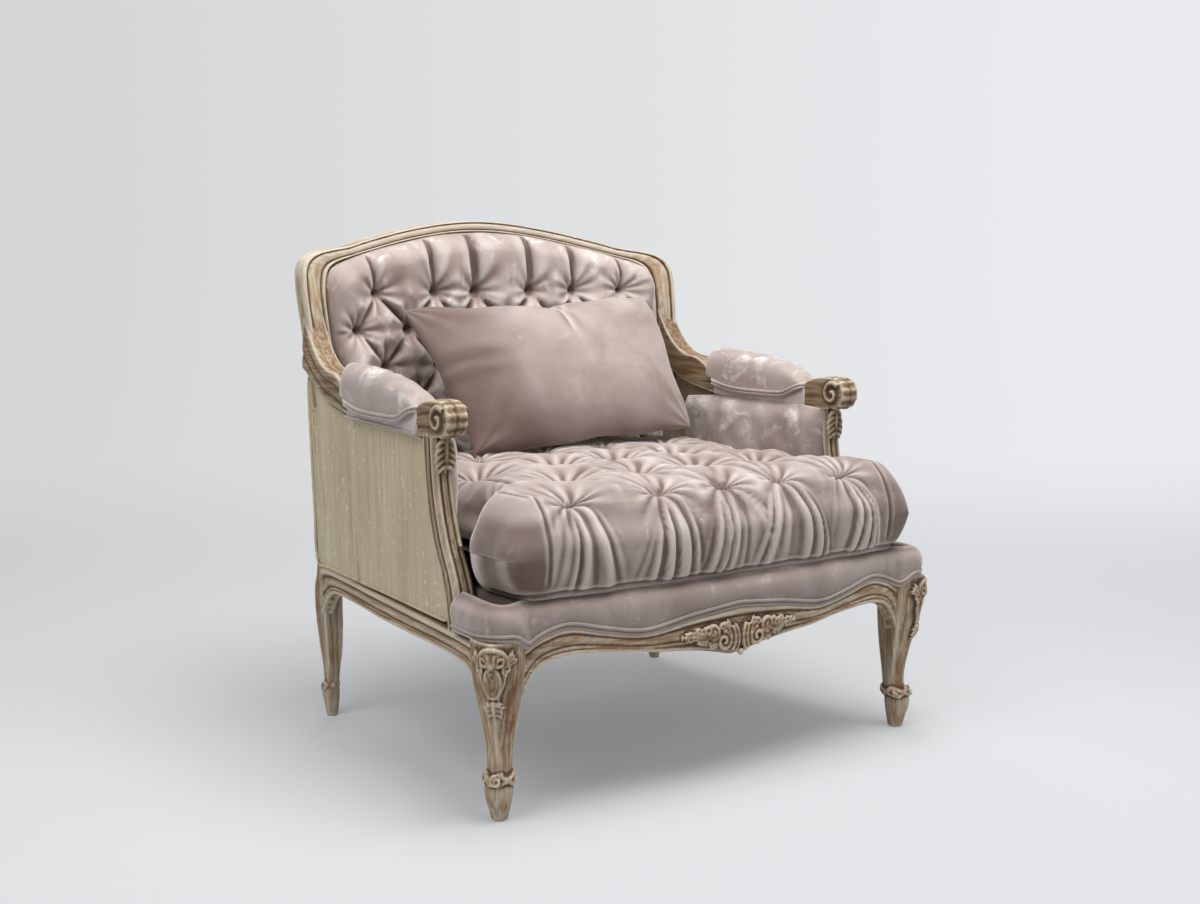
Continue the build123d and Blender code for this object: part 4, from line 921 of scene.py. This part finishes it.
def swollen(face, rear, held, pressure, cap):
    """A face swollen by air pressure in a cloth simulation: held in places, moved up to the cap."""
    picks = [np.unique(np.append(np.arange(0, n, SIM_STEP), n - 1)) for n in face.shape[:2]]
    few = np.ix_(*picks)
    points, faces = closed(face[few], rear[few])
    obj = made("cover", (points / 1000).tolist(), faces)
    scene = bpy.context.scene
    group = obj.vertex_groups.new(name="held")
    weight = np.clip(np.hstack([held[few], np.ones(held[few].shape)]), 0, 1).ravel()
    tenths = np.round(weight * 10)
    for level in range(1, 11):
        group.add(np.nonzero(tenths == level)[0].tolist(), level / 10, "REPLACE")
    cloth = obj.modifiers.new("cover", "CLOTH")
    s = cloth.settings
    s.quality = 5
    s.mass = 0.4
    s.tension_stiffness = s.compression_stiffness = 18
    s.shear_stiffness = 8
    s.bending_stiffness = 0.6
    s.use_pressure = True
    s.uniform_pressure_force = pressure
    s.vertex_group_mass = "held"
    s.effector_weights.gravity = 0
    cloth.collision_settings.use_self_collision = False
    cloth.point_cache.frame_start = 1
    cloth.point_cache.frame_end = SIM_FRAMES
    for number in range(1, SIM_FRAMES + 1):
        scene.frame_set(number)
    graph = bpy.context.evaluated_depsgraph_get()
    after = points_of(obj.evaluated_get(graph).data) * 1000
    bpy.data.meshes.remove(obj.data)
    scene.frame_set(1)
    move = (after - points).reshape(len(picks[0]), -1, 3)[:, :len(picks[1])]
    far = np.linalg.norm(move, axis=2)[..., None]
    move = np.nan_to_num(move * np.minimum(1, cap / (far + 1e-9)))
    for axis, size in enumerate(face.shape[:2]):
        between = lambda values: np.interp(np.arange(size), picks[axis], values)
        move = np.apply_along_axis(between, axis, move)
    return face + move


# The tufted back, with tufts in (height, places across)

BACK_FOOT = 399
BACK_HALF = 393.0
EDGE_HALF = 394
INNER_EDGE = [
    (0, 957), (95, 951), (188, 935), (279, 915), (342, 897), (372, 884), (386, 866),
    (EDGE_HALF, 842),
]
BACK_ROWS = [
    (834, [-292, -146, -46, 89, 193, 306]), (762, [-345, -220, -97, 22, 141, 250, 352]),
    (690, [-285, -152, -40, 86, 194, 300]), (618, [-340, -216, -95, 22, 140, 247, 345]),
    (546, [-280, -150, -38, 84, 192, 296]), (474, [-335, -214, -95, 22, 140, 245, 338]),
]
SKIRT_HALF, SKIRT_TOP, SKIRT_FOOT = 371, 404, 355.5
RIGHT = np.array([1.0, 0, 0])


def back_spot(x, z):
    return np.array([x, back_y(x, z), z])


def back_tufts():
    """Tufts of the back, and the pleats that join them to each other, the crest and the sides."""
    spots = [[back_spot(x, z) for x in row] for z, row in BACK_ROWS]
    pleats = joined_rows(spots)
    for spot in spots[0]:
        crown = back_spot(spot[0], line(abs(spot[0]), INNER_EDGE))
        pleats.append((spot, crown * [1.02, 1, 1], 0.78))
    for row in spots[1::2]:
        for spot in (row[0], row[-1]):
            pleats.append((spot, back_spot(np.sign(spot[0]) * EDGE_HALF, spot[2] - 6), 0.5))
    up = np.array([0, BACK_RAKE, 1.0])
    tufts = [(spot, RIGHT, up, 9 + k % 3) for row in spots for k, spot in enumerate(row)]
    return tufts, pleats


def back_pad():
    """The tufted inside back."""
    s = spread(270)[:, None]
    s = np.sign(s) * abs(s) ** 0.85
    top = line(abs(s) * BACK_HALF, INNER_EDGE)
    z = BACK_FOOT + (top - BACK_FOOT) * eased(200)[None, :]
    x = s * (BACK_HALF - 23 * np.clip((SHOULDER - z) / 457, 0, 1))
    side = (1 - abs(s)) * BACK_HALF
    edge = rounded(side / 48) * rounded((top - z) / 40) * rounded((z - BACK_FOOT + 1) / 40)
    base = xyz(x, back_y(x, z), z)
    drawn, gathers = tuft_depth(base, *back_tufts(), 34, 15)
    lumps = 1.6 * sin(x / 37 + 1) * sin(z / 29) + 1.2 * sin(x / 19 + z / 23)
    rise = 6 + edge * (60 * (1 - drawn) ** 0.85 + 3.4 * gathers + lumps)
    rear = base + np.array([0, 9, 0])
    held = np.clip(drawn * 1.5 - 0.1, 0.12, 1) + (edge < 0.25)
    face = swollen(base - xyz(0, rise, 0), rear, held, 2.5, 9)
    # Painted shade: the left of the back darker, below its top.
    patina_and_painted_light = 0.14 * soft_step(-x, 150, 330) * fade(z, 850, 905)
    pad("tufted_back", [closed(face, rear)], SILVERED_AND_LIT, ["back_pad"],
        depth=1.9, patina_and_painted_light=np.hstack([patina_and_painted_light, 0 * patina_and_painted_light]))


def back_skirt():
    """A strip of velvet below the tufted back, which shows when the cushion is out."""
    x = np.linspace(-SKIRT_HALF, SKIRT_HALF, 160)[:, None]
    z = np.linspace(SKIRT_FOOT, SKIRT_TOP, 14)[None, :]
    wall = np.minimum(back_y(x, BACK_FOOT) - 5, 680)
    gather = 1.4 * sin(x / 9 + 1.5 * sin(x / 31)) * (SKIRT_TOP - z) / 48
    shells = [closed(xyz(x, wall + (gather - 3), z), xyz(x, wall + 2, z))]
    pad("back_skirt", shells, VELVET, [])


# The seat cushion: half widths in (y, x), and tufts in (y, places across)

CUSHION_FOOT, CUSHION_MIDDLE, CUSHION_TOP = 355, 425, 527
CUSHION_FRONT, CUSHION_REAR = -61, 583
CUSHION_BROW, CUSHION_SEAM = 508.0, 366
CUSHION_HALF = [
    (-60, 402), (-50, 420), (-30, 438), (0, 447), (50, 451), (84, 451), (98, 444), (110, 420),
    (118, 398), (130, 392), (200, 391), (400, 381), (585, 367),
]
SEAT_ROWS = [
    (-14, [-318, -132, 5, 134, 294]), (140, [-392, -226, -66, 68, 214, 366]),
    (292, [-310, -142, 0, 138, 300]), (440, [-222, -70, 72, 226]),
]
FOLD_DEPTH = [(-0.3, 0), (0.0, 3), (0.15, 13), (0.55, 20), (0.92, 15), (1.04, 3), (1.15, 0)]
LOOP_STEPS = 4000


def cushion_loop(count):
    """A side view of the cushion: forward under it, up its roll, back over it and down its rear."""
    turn = np.linspace(0, 1, 60)
    lower = turn < 0.5
    below, above = CUSHION_MIDDLE - CUSHION_FOOT, CUSHION_TOP - CUSHION_MIDDLE
    height = CUSHION_MIDDLE - np.where(lower, below, above) * cos(pi * turn)
    roll = 1 - sin(pi * turn) ** np.where(lower, 0.6, 0.8)
    front = np.stack([CUSHION_FRONT + np.where(lower, 40, 64) * roll, height], 1)
    rear = np.stack([CUSHION_REAR - 50 * (1 - sin(pi * turn) ** 0.85), height], 1)[::-1]
    top = np.stack([np.linspace(8, 532, 80), np.full(80, float(CUSHION_TOP))], 1)
    under = np.stack([np.linspace(532, -26, 40), np.full(40, float(CUSHION_FOOT))], 1)
    loop = np.vstack([under[:-1], front, top[1:-1], rear])
    length = travelled(loop)
    at = np.linspace(0, length[-1], LOOP_STEPS)
    y, z = (np.interp(at, length, loop[:, k]) for k in (0, 1))
    need = np.where(z < CUSHION_FOOT + 1, 0.35, 1) + 1.2 * ((y < 10) & (z > 370))
    share = np.concatenate([[0], np.cumsum(need)[:-1]])
    steps = np.arange(LOOP_STEPS)
    pick = np.interp(np.linspace(0, share[-1], count), share, steps)
    return np.interp(pick, steps, y), np.interp(pick, steps, z)


def cushion_skin():
    """The cushion before it is tufted, and how far each point is from its nearer end."""
    s = spread(300)[:, None]
    s = np.sign(s) * abs(s) ** 0.9
    along, height = cushion_loop(330)
    y = along + 24 * abs(s) ** 2.6 * soft_step(120 - along, 0, 170)
    half = np.interp(y, *curve(CUSHION_HALF, 200).T)
    side = (1 - abs(s)) * half
    lift = height - CUSHION_MIDDLE
    domed = np.clip(lift / (CUSHION_TOP - CUSHION_MIDDLE), 0, 1)
    crown = 15 * (1 - abs(s) ** 3) * domed * sin(pi * np.clip((y + 60) / 640, 0, 1)) ** 0.4
    end = np.where(lift > 0, rounded(side / 66), rounded(side / 46))
    return xyz(s * half, y, CUSHION_MIDDLE + (lift + np.where(lift > 0, crown, 0)) * end), side


def cushion_tufts(skin):
    """Tufts on top of the cushion, and the pleats between them."""
    flat = skin.reshape(-1, 3)
    x, y, z = flat.T
    low = np.where(z < 450, 1e6, 0)
    spots = [[flat[np.argmin((x - tx) ** 2 + (y - ty) ** 2 + low)] for tx in row]
             for ty, row in SEAT_ROWS]
    tufts = []
    for row, marks in enumerate(spots):
        up = np.array([0, 0.6, 0.8]) if row == 0 else np.array([0, 1.0, 0])
        tufts += [(mark, RIGHT, up, 11 + k % 3) for k, mark in enumerate(marks)]
    return tufts, joined_rows(spots)


def fan_folds(x, fall, marks):
    """Gathers that fan out from each front tuft; fall runs from 0 at the tufts to 1 at the seam."""
    open_out = 0.4 + 0.6 * np.clip(fall, 0, 1) ** 0.8
    total = np.zeros_like(x)
    for k, mark in enumerate(marks):
        width = 92 if 0 < k < len(marks) - 1 else 78
        seam = (x - mark) / open_out
        weight = exp(-(seam / width) ** 4)
        wander = seam + 7 * sin(3.1 * fall + k) * sin(seam / 33 + 2 * k)
        period = 31 + 5 * sin(2.1 * k + 1)
        phase = pi * (wander / period + 0.24 * noise_line(wander, k + 0.7))
        ridge = 0.68 * abs(sin(phase)) ** 1.3 + 0.32 * sin(1.45 * phase + k) ** 2
        strong = 0.6 + 0.4 * sin(seam / 27 + 1.7 * k)
        total = np.maximum(total, weight * strong * ridge)
    return total


def seat_cushion():
    """The loose cushion: a fat gathered roll in front, tufts on top and plain rounded ends."""
    skin, side = cushion_skin()
    x, y, z = np.moveaxis(skin, -1, 0)
    out = normals_of(skin)
    out *= np.sign(out[150, 230, 2])
    drawn, gathers = tuft_depth(skin, *cushion_tufts(skin), 36, 17)
    drawn = drawn * (1 - 0.5 * soft_step(y, 380, 440))
    over = soft_step(z, 440, 480)
    lumps = 2.2 * sin(x / 41 + 0.5) * sin(y / 33) + 1.6 * sin(x / 23 + y / 27)
    rise = over * (-52 * drawn + 4.2 * gathers + lumps)
    fall = (CUSHION_BROW - z) / (CUSHION_BROW - CUSHION_SEAM)
    ahead = fade(y, -6, 26)
    plain_end = soft_step(abs(x), 352, 384)
    depth = np.interp(fall, *np.transpose(FOLD_DEPTH))
    folds = fan_folds(x, fall, SEAT_ROWS[0][1])
    rise += ahead * (1 - plain_end) * depth * (folds - 0.5)
    rise += 7 * ahead * bell(fall, 0.5, 0.42) * (1 - 0.4 * plain_end)
    seam = bell(z, 364, 4.0) * fade(y, 40, 90)
    corner = bell(abs(x), 381, 4.0) * ahead * soft_step(z, 374, 392)
    rim = bell(side, 52, 5) * soft_step(z, 470, 490) * soft_step(y, -20, 20)
    rise -= 6.5 * seam + 6 * corner + 5 * rim
    skin = skin + out * rise[..., None]
    skin[..., 2] = np.maximum(skin[..., 2], CUSHION_FOOT + 0.3)
    # Painted shade: the seat top a little darker, and more on the ends, the lower front and below
    # the seam.
    patina_and_painted_light = (0.08 * over + 0.34 * plain_end * fade(z, 470, 505) + 0.11 * ahead * fade(z, 400, 470)
           + 0.46 * fade(z, 360, 368) + 0.2 * fade(side, 20, 60) * fade(z, 416, 430))
    pad("tufted_cushion", [grid(skin)], VELVET, ["seat_cushion", "cushion_core"], "cushion",
        rounds=7, depth=1.25, patina_and_painted_light=patina_and_painted_light)


# The pillow, in its own plane: a across, b up

PILLOW_HALF, PILLOW_TALL, PILLOW_FLARE = 288, 170, 21
PILLOW_FOOT = np.array([50, 463, 540.5])
PILLOW_LEAN = radians(36)
PILLOW_SKEW = 0.049


def pillow_place(a, b, out):
    """From the pillow's own plane, and out of its front, to the chair."""
    up = np.array([0, sin(PILLOW_LEAN), cos(PILLOW_LEAN)])
    ahead = np.array([0, -cos(PILLOW_LEAN), sin(PILLOW_LEAN)])
    centre = PILLOW_FOOT + up * PILLOW_TALL
    along = b + PILLOW_SKEW * a
    return centre + a[..., None] * RIGHT + along[..., None] * up + out[..., None] * ahead


def pillow():
    """A plain knife-edge pillow with pointed corners, creased in the middle of its top edge."""
    u, v = spread(190)[:, None], spread(140)[None, :]
    dome = (1 - u ** 2) * (1 - v ** 2)
    ear = exp(-((u - 1) ** 2 + (v - 1) ** 2) / 0.06)
    a = PILLOW_HALF * u * (1 - 0.03 * (1 - v ** 2)) + PILLOW_FLARE * u * v
    b = PILLOW_TALL * v - np.where(v > 0, 15, 2) * v * (1 - u ** 2)
    a = a - 16 * ear + 3 * sin(b / 27) * abs(u) ** 3
    b = b - 13 * ear + (2.5 * sin(a / 41 + 1) + 2 * sin(a / 23)) * abs(v) ** 3
    notch = bell(a, 18, 34) * soft_step(b, 96, 156)
    crease = bell(a - 20 - 0.12 * (b - 90), 0, 5.5) * soft_step(b, 20, 110)
    crease += 0.7 * bell(a - 44 - 0.5 * (b - 130), 0, 7) * soft_step(b, 96, 140)
    lip = bell(a, 2, 16) * soft_step(b, 30, 110)
    left = sin(b / 10.5 + 1.4 * sin(b / 27) + a / 90) * (0.6 + 0.4 * sin(b / 41))
    left = soft_step(-a, 96, 286) * left
    corners = 0
    for i in (-1, 1):
        for j in (-1, 1):
            da, db = a - (PILLOW_HALF + PILLOW_FLARE * j) * i, b - PILLOW_TALL * j
            far = np.hypot(da, db)
            fan = sin(13 * np.arctan2(db, da) + i + 2 * j)
            corners = corners + exp(-far / 62) * fan * np.clip(far / 30, 0, 1)
    wave = 2.2 * sin(a / 61 + b / 37) + 1.6 * sin(a / 43 - b / 29 + 1)
    edge = dome ** 0.25
    thick = 66 * dome ** (0.46 + 0.045 * v) + 16 * dome
    face = thick + edge * (3.4 * left + 4.5 * corners + wave + 4 * lip - 16 * crease)
    face = face - 12 * notch * edge
    rear = -64 * (1 - u ** 2) ** 0.7 * (1 - v ** 2)
    drop = 12 * bell(a, 18, 46) * soft_step(v, 0.4, 1)
    shells = [closed(pillow_place(a, b - drop, face), pillow_place(a, b - drop, rear))]
    # Painted shade on the left and lower parts, a painted highlight at the top right, and the back
    # darker by 0.1.
    patina_and_painted_light = (0.4 * soft_step(-a, 30, 235) + 0.16 * soft_step(-b, 50, 165)
           - 0.14 * soft_step(b, 60, 150) * soft_step(a, -120, 60))
    pad("velvet_pillow", shells, SMOOTH, ["lumbar_pillow", "pillow_insert"], "pillow",
        rounds=8, depth=3.0, patina_and_painted_light=np.hstack([patina_and_painted_light, 0.1 + 0 * patina_and_painted_light]))


# Arm pads, with heights in (y, z)

PAD_FRONT, PAD_REAR, PAD_CROWN_REAR = 240, 503, 546
PAD_HALF, PAD_TAPER = 31, 0.72
PAD_BASE = [
    (240, 652), (256, 646), (280, 636), (302, 632), (370, 631), (430, 632), (470, 637), (503, 645)]
PAD_TOP = [
    (240, 653), (254, 668), (278, 682), (308, 692), (370, 703), (440, 709), (500, 712), (530, 710),
    (546, 700),
]
BAND_FRONT, BAND_REAR = 236, 506
BAND_LOW = [(200, 605), (255, 608), (302, 610), (430, 613), (503, 616), (540, 622)]
INSIDE_FRONT, INSIDE_LENGTH = 186, 405
INSIDE_FOOT, INSIDE_TOP = 357, 606


def arm_middle(y):
    return arm_outer(y) + ARM_WIDE // 2


def arm_pad():
    """Left arm pad: a long crowned pad over a velvet band."""
    t = np.linspace(0, 1, 90)[:, None]
    angle = np.linspace(0, pi, 44)[None, :]
    yb, yt = (PAD_FRONT + (rear - PAD_FRONT) * t for rear in (PAD_REAR, PAD_CROWN_REAR))
    zb, zt = line(yb, PAD_BASE), line(yt, PAD_TOP)
    lift = sin(angle) ** 0.75
    wide = PAD_HALF * (PAD_TAPER + (1 - PAD_TAPER) * rounded(t / 0.1))
    x = arm_middle(yb) + wide * cos(angle) * (1 + 0.08 * sin(2 * angle) ** 2)
    y = yb + (yt - yb) * lift
    z = zb + (zt - zb) * lift * (0.3 + 0.7 * rounded((1 - t) / 0.05))
    ripple = (1.1 * sin(y / 13 + x / 7) + 0.8 * sin(y / 7 - x / 11)) * sin(angle)
    bands = []
    for at in np.linspace(BAND_FRONT, BAND_REAR, 60):
        low = line(at, BAND_LOW) - 1
        top = line(min(at, PAD_REAR), PAD_BASE) + 1
        outer, inner = arm_outer(at) - 3.2, arm_outer(at) + ARM_WIDE + 3
        half = [(1, low), (0, low + 3), (-1, (low + top) / 2), (0, top - 2), (2, top)]
        bands.append([(outer + inset, at, height) for inset, height in half]
                     + [(inner - inset, at, height) for inset, height in reversed(half)])
    return [closed(xyz(x, y, z + ripple), xyz(x, yb, zb - 1.5)), grid(bands)]


def arm_welts():
    """Welts round the foot of the left arm pad and along its velvet band."""
    shells = []
    y = np.linspace(PAD_FRONT - 2, PAD_REAR, 70)
    reach = (PAD_HALF + 2.5) * (PAD_TAPER + (1 - PAD_TAPER) * rounded((y - BAND_FRONT) / 26))
    for drop, radius in ((0, 3.3), (6.2, 2.8)):
        z = line(y, PAD_BASE) - drop
        outer, inner = xyz(arm_middle(y) - reach, y, z), xyz(arm_middle(y) + reach, y, z)
        shells.append(tube(np.vstack([outer, inner[::-1], outer[:1]]), radius))
    y = np.linspace(BAND_FRONT, BAND_REAR, 60)
    shells.append(tube(xyz(arm_outer(y) - 3.5, y, line(y, BAND_LOW)), 2.8))
    return shells


def inner_arm_pad():
    """Left inside arm, padded between the arm and the cushion."""
    s, t = eased(100)[:, None], eased(70)[None, :]
    y = INSIDE_FRONT + INSIDE_LENGTH * s + 0 * t
    z = INSIDE_FOOT + (INSIDE_TOP - INSIDE_FOOT + 10 * sin(pi * s)) * t
    back = -(443 - 20 * (y - INSIDE_FRONT) / INSIDE_LENGTH)
    ends = rounded((y - INSIDE_FRONT) / 34) * rounded((INSIDE_FRONT + INSIDE_LENGTH + 1 - y) / 30)
    full = ends * rounded((INSIDE_TOP + 10 - z) / 40) * rounded((z - INSIDE_FOOT + 7) / 30)
    ripple = 1.5 * sin(y / 23 + z / 31) + 1.2 * sin(y / 13 - z / 19)
    return [closed(xyz(back + 5 + (36 + ripple) * full, y, z), xyz(back, y, z))]


# The border over the front rail and the deck behind it

DECK_TOP, DECK_EDGE, DECK_FOOT = 354.6, 338, 324.6
DECK_REAR = 686
DECK_HALF = [(0, 421), (233, 421), (237, 440.5), (DECK_REAR, 418)]
BORDER_COUNT = 420
BORDER_PLAN = [
    (-470, 104), (-476, 60), (-481, 15), (-479, -18), (-467, -36), (-448, -40), (-430, -36),
    (-412, -28),
]
KNEE_EDGE = [(-40, 303), (-20, 302), (20, 298), (104, 296)]
# Share of the height, distance out, and share of the folds at the knees
BORDER_FACE = [
    (0, -2, 0), (0.06, 2, 0), (0.2, 6, 0), (0.42, 9, 1), (0.64, 8.5, 1), (0.82, 5, 0),
    (0.94, -1, 0), (1, -8, 0), (1, -17, 0), (0, -17, 0),
]


def border_path():
    """Plan of the velvet border, from one arm support round both knees to the other."""
    front = [(x, rail_y(x) + 2) for x in np.linspace(-385, 385, 40)]
    return BORDER_PLAN + front + [(-x, y) for x, y in reversed(BORDER_PLAN)]


def border_base(x, y):
    """Lower edge of the border: along the welt line, and up over each knee."""
    away = abs(x)
    rising = 284 + 19 * (away - 425) / 22
    knee = np.where(away < 447, rising, line(np.clip(y, -40, 104), KNEE_EDGE))
    return np.where(away < 425, line(away, WELT), knee)


def front_border():
    """The velvet border over the front rail and the knees, and its welts."""
    plan = curve(border_path(), BORDER_COUNT)
    tangent = np.gradient(plan, axis=0)
    tangent /= np.linalg.norm(tangent, axis=1)[:, None]
    outward = np.stack([tangent[:, 1], -tangent[:, 0]], 1)
    step = np.arange(BORDER_COUNT - 1)
    base = relaxed(border_base(*plan.T)[:, None], np.stack([step, step + 1], 1), 4)[:, 0]
    rows = []
    for (x, y), (ox, oy), low in zip(plan, outward, base):
        fold = 1.6 * sin(x / 9.0 + y / 7) * bell(abs(x), 440, 26)
        row = []
        for share, out, soft in BORDER_FACE:
            out = out + soft * fold
            row.append((x + ox * out, y + oy * out, low + (DECK_TOP - low) * share))
        rows.append(row)
    welts = [tube(np.column_stack([plan + outward * out, base + lift]), radius)
             for lift, out, radius in ((1.5, 3.6, 3.4), (8.5, 6.4, 3.2))]
    return [bar(rows, 40)], welts


def seat_deck():
    """The covered deck that the cushion lies on."""
    s, t = spread(90)[:, None], eased(80)[None, :]
    front = rail_y(DECK_HALF[0][1] * s) + 21.5
    y = front + (DECK_REAR - front) * t
    half = np.interp(y, *np.transpose(DECK_HALF))
    side = (1 - abs(s)) * half
    full = rounded(side / 9) * rounded((y - front) / 9) * rounded((DECK_REAR - y) / 9)
    z = DECK_EDGE + full * (16 + 0.5 * sin(s * half / 47) * sin(y / 39))
    shells = [closed(xyz(s * half, y, z), xyz(s * half, y, DECK_FOOT))]
    pad("deck_cover", shells, DECK, ["seat_deck"])


def upholstery():
    seat_deck()
    back_pad()
    back_skirt()
    seat_cushion()
    pillow()
    for hand in ("left", "right"):
        pad("arm_pad_velvet_" + hand, sided(arm_pad(), hand), BRUSHED, ["arm_pad_" + hand])
        shade_recesses(piece("arm_welt_" + hand, sided(arm_welts(), hand), SMOOTH), 14, 8)
        inside = sided(inner_arm_pad(), hand)
        pad("inside_arm_velvet_" + hand, inside, BRUSHED, ["inner_arm_pad_" + hand])
    border, welts = front_border()
    # Painted shade: the border darker overall, and more at its top under the cushion.
    patina_and_painted_light = 0.23 + 0.2 * soft_step(border[0][0][:, 2], 342, 353)
    pad("border_velvet", border, VELVET, ["front_border"], patina_and_painted_light=patina_and_painted_light)
    # The welts darker by 0.12 as painted shade.
    shade_recesses(piece("border_welt", welts, SMOOTH), 14, 8, 0.12)


upholstery()

# Painted panels and the pieces that keep their shapes

PANEL_EDGE = [
    (152, 312), (164, 368), (196, 437), (217, 510), (226, 580), (247, 601), (351, 604), (497, 607),
    (570, 619), (606, 628), (642, 652), (684, 674), (702, 672), (708, 600), (708, 420), (706, 316),
    (640, 309), (400, 303), (220, 298), (165, 298), (152, 312),
]
# Height, depth at the posts, and bow
BACK_BOARD = [
    (320, 706, 54), (645, 706, 54), (700, 708.9, 54.5), (760, 718.9, 55.5), (820, 733.5, 56.9),
    (860, 741.9, 57.6), (970, 761.7, 57.6),
]
BOARD_HALF = [(320, 384), (600, 391), (700, 395), (860, 401)]
BOARD_FOOT, BOARD_THICK = 320, 8


def panel_x(y, z):
    """Outer face of the left side panel, which draws in towards the back."""
    rear = 426 + 14 * (z - 300) / 390
    return -(461 + (rear - 461) * y / LEG_SPAN)


def panel_edging():
    """A thin raised edging round the left side panel."""
    y, z = curve(PANEL_EDGE, 260).T
    return [tube(xyz(panel_x(y, z) - 0.6, y, z), 3.2, 8)]


def back_board():
    """The bowed outer back, let in between the posts, and an edging like the side panels'."""
    heights, foot, bow = np.transpose(BACK_BOARD)
    s, t = np.linspace(-1, 1, 120)[:, None], np.linspace(0, 1, 90)[None, :]
    z = BOARD_FOOT + (line(abs(s) * EDGE_HALF, INNER_EDGE) + 8 - BOARD_FOOT) * t
    x = s * np.interp(z, *np.transpose(BOARD_HALF))
    y = line(z, np.stack([heights, foot], 1)) + np.interp(z, heights, bow) * (1 - (x / 395) ** 2)
    rear = xyz(x, y + BOARD_THICK, z)
    rim = np.vstack([rear[4, 2:-3], rear[4:-4, -4], rear[-5, 2:-3][::-1], rear[4:-4, 2][::-1]])
    return [closed(xyz(x, y, z), rear)], [tube(curve(rim[::3] + [0, 1, 0], 500), 3.4, 8)]


for hand in ("left", "right"):
    edging = sided(panel_edging(), hand)
    shade_recesses(piece("panel_edging_" + hand, edging, PANEL))
board, bead = back_board()
shade_recesses(piece("back_board", board, PANEL, ["back_panel"]), 14, 6)
shade_recesses(piece("back_board_edging", bead, PANEL))

FINISH = {
    "painted_panel": PANEL,
    "inner_wood": plain("inner_wood_finish", (178, 140, 98), 0.7, 120),
    "screw_steel": plain("screw_steel_finish", (160, 160, 160), 0.35, 200, 1.0),
    "glide_plastic": plain("glide_finish", (52, 44, 38), 0.6, 200),
    "webbing": plain("webbing_finish", (156, 130, 92), 0.9, 600),
    "lining_cloth": plain("lining_finish", (58, 54, 50), 0.95, 800),
    "limed_wood": WOOD["x"],
    "velvet": VELVET,
    "filling": plain("filling_finish", (222, 216, 204), 0.9, 400),
}
for entry in frame["record"]["subparts"]:
    for slot in frame["nodes"][entry["node"]].material_slots:
        slot.material = FINISH[entry["material_slot"]]

# Stage, light and camera, in metres and degrees

STAGE_HALF = 18
STAGE_PROFILE = [
    (-18, 0), (-9, 0), (-3, 0), (0, 0), (2.2, 0), (2.8, 0.06), (3.3, 0.3), (3.6, 0.8), (3.7, 1.6),
    (3.7, 6),
]
CAMERA_TURN, CAMERA_DIP = -35.6, 6.86
CAMERA_PLACE = (-1.777, (-2129 - DEPTH_CENTRE) / 1000, 0.9)
# Name, place, aim, size and watts
LAMPS = [
    ("key", (-2.4, -0.6, 3.2), (0, 0, 0.4), (2.0, 2.0), 50),
    ("top", (0.3, -0.75, 3.4), (0, 0.1, 0.5), (2.2, 2.2), 118),
    ("fill", (2.6, -3.2, 1.8), (0, 0, 0.5), (2.5, 2.0), 8),
    ("rear", (1.0, 2.9, 2.7), (0, 0.3, 0.5), (2.2, 1.6), 18),
]


def stage():
    """A floor that sweeps up behind the chair, and glows a little where the camera sees it."""
    rows = [[(side, y, z) for side in (-STAGE_HALF, 0, STAGE_HALF)]
            for y, z in curve(STAGE_PROFILE, 60)]
    points, faces = grid(rows, wrap=False, caps=False)
    c, s = cos(radians(CAMERA_TURN)), sin(radians(CAMERA_TURN))
    points = points @ np.array([[c, s, 0], [-s, c, 0], [0, 0, 1]])
    floor = made("studio_floor", points.tolist(), faces)
    n = Nodes(bpy.data.materials.new("studio_floor_finish"))
    floor.data.materials.append(n.principled(Base_Color=srgb(196, 198, 201), Roughness=0.9))
    where = n.add("TexCoord").outputs["Object"]
    turned = n.add("Mapping", Vector=where, Rotation=(0, 0, radians(-CAMERA_TURN)),
                   Scale=(0.2, 0.2, 0.2), Location=(0.5, 0, 0)).outputs["Vector"]
    place = n.add("SeparateXYZ", Vector=turned).outputs
    colour = n.ramp(place["X"], [(0.1, srgb(213, 215, 214)), (0.85, srgb(232, 234, 237))])
    glow = n.add("Emission", Color=colour)
    share = n.math("MULTIPLY", n.seen(), n.ramp(place["Y"], [(0.12, 0.26), (0.6, 1)]))
    n.surface(share, n.tree.nodes["Principled BSDF"].outputs[0], glow.outputs[0])


def lamp(name, place, aim, size, power):
    data = bpy.data.lights.new(name, "AREA")
    data.shape = "RECTANGLE"
    data.size, data.size_y = size
    data.energy = power
    obj = linked(bpy.data.objects.new(name, data))
    obj.location = place
    obj.rotation_euler = (Vector(aim) - Vector(place)).to_track_quat("-Z", "Y").to_euler()


def sky():
    """Soft light from all round, and a plain pale backdrop where the camera sees past the stage."""
    world = bpy.data.worlds.new("studio")
    bpy.context.scene.world = world
    n = Nodes(world)
    light = n.tree.nodes["Background"]
    light.inputs["Color"].default_value = (1.0, 0.985, 0.955, 1)
    light.inputs["Strength"].default_value = 0.3
    shown = n.add("Background", Color=srgb(216, 218, 219))
    n.surface(n.seen(), light.outputs[0], shown.outputs[0])


stage()
for values in LAMPS:
    lamp(*values)
sky()
camera = linked(bpy.data.objects.new("camera", bpy.data.cameras.new("camera")))
camera.data.sensor_fit = "HORIZONTAL"
camera.data.sensor_width = 36
camera.data.lens = 48
camera.data.clip_end = 50
camera.location = CAMERA_PLACE
camera.rotation_euler = (radians(90 - CAMERA_DIP), 0, radians(CAMERA_TURN))
bpy.context.scene.camera = camera
bpy.context.scene.view_settings.view_transform = "Standard"
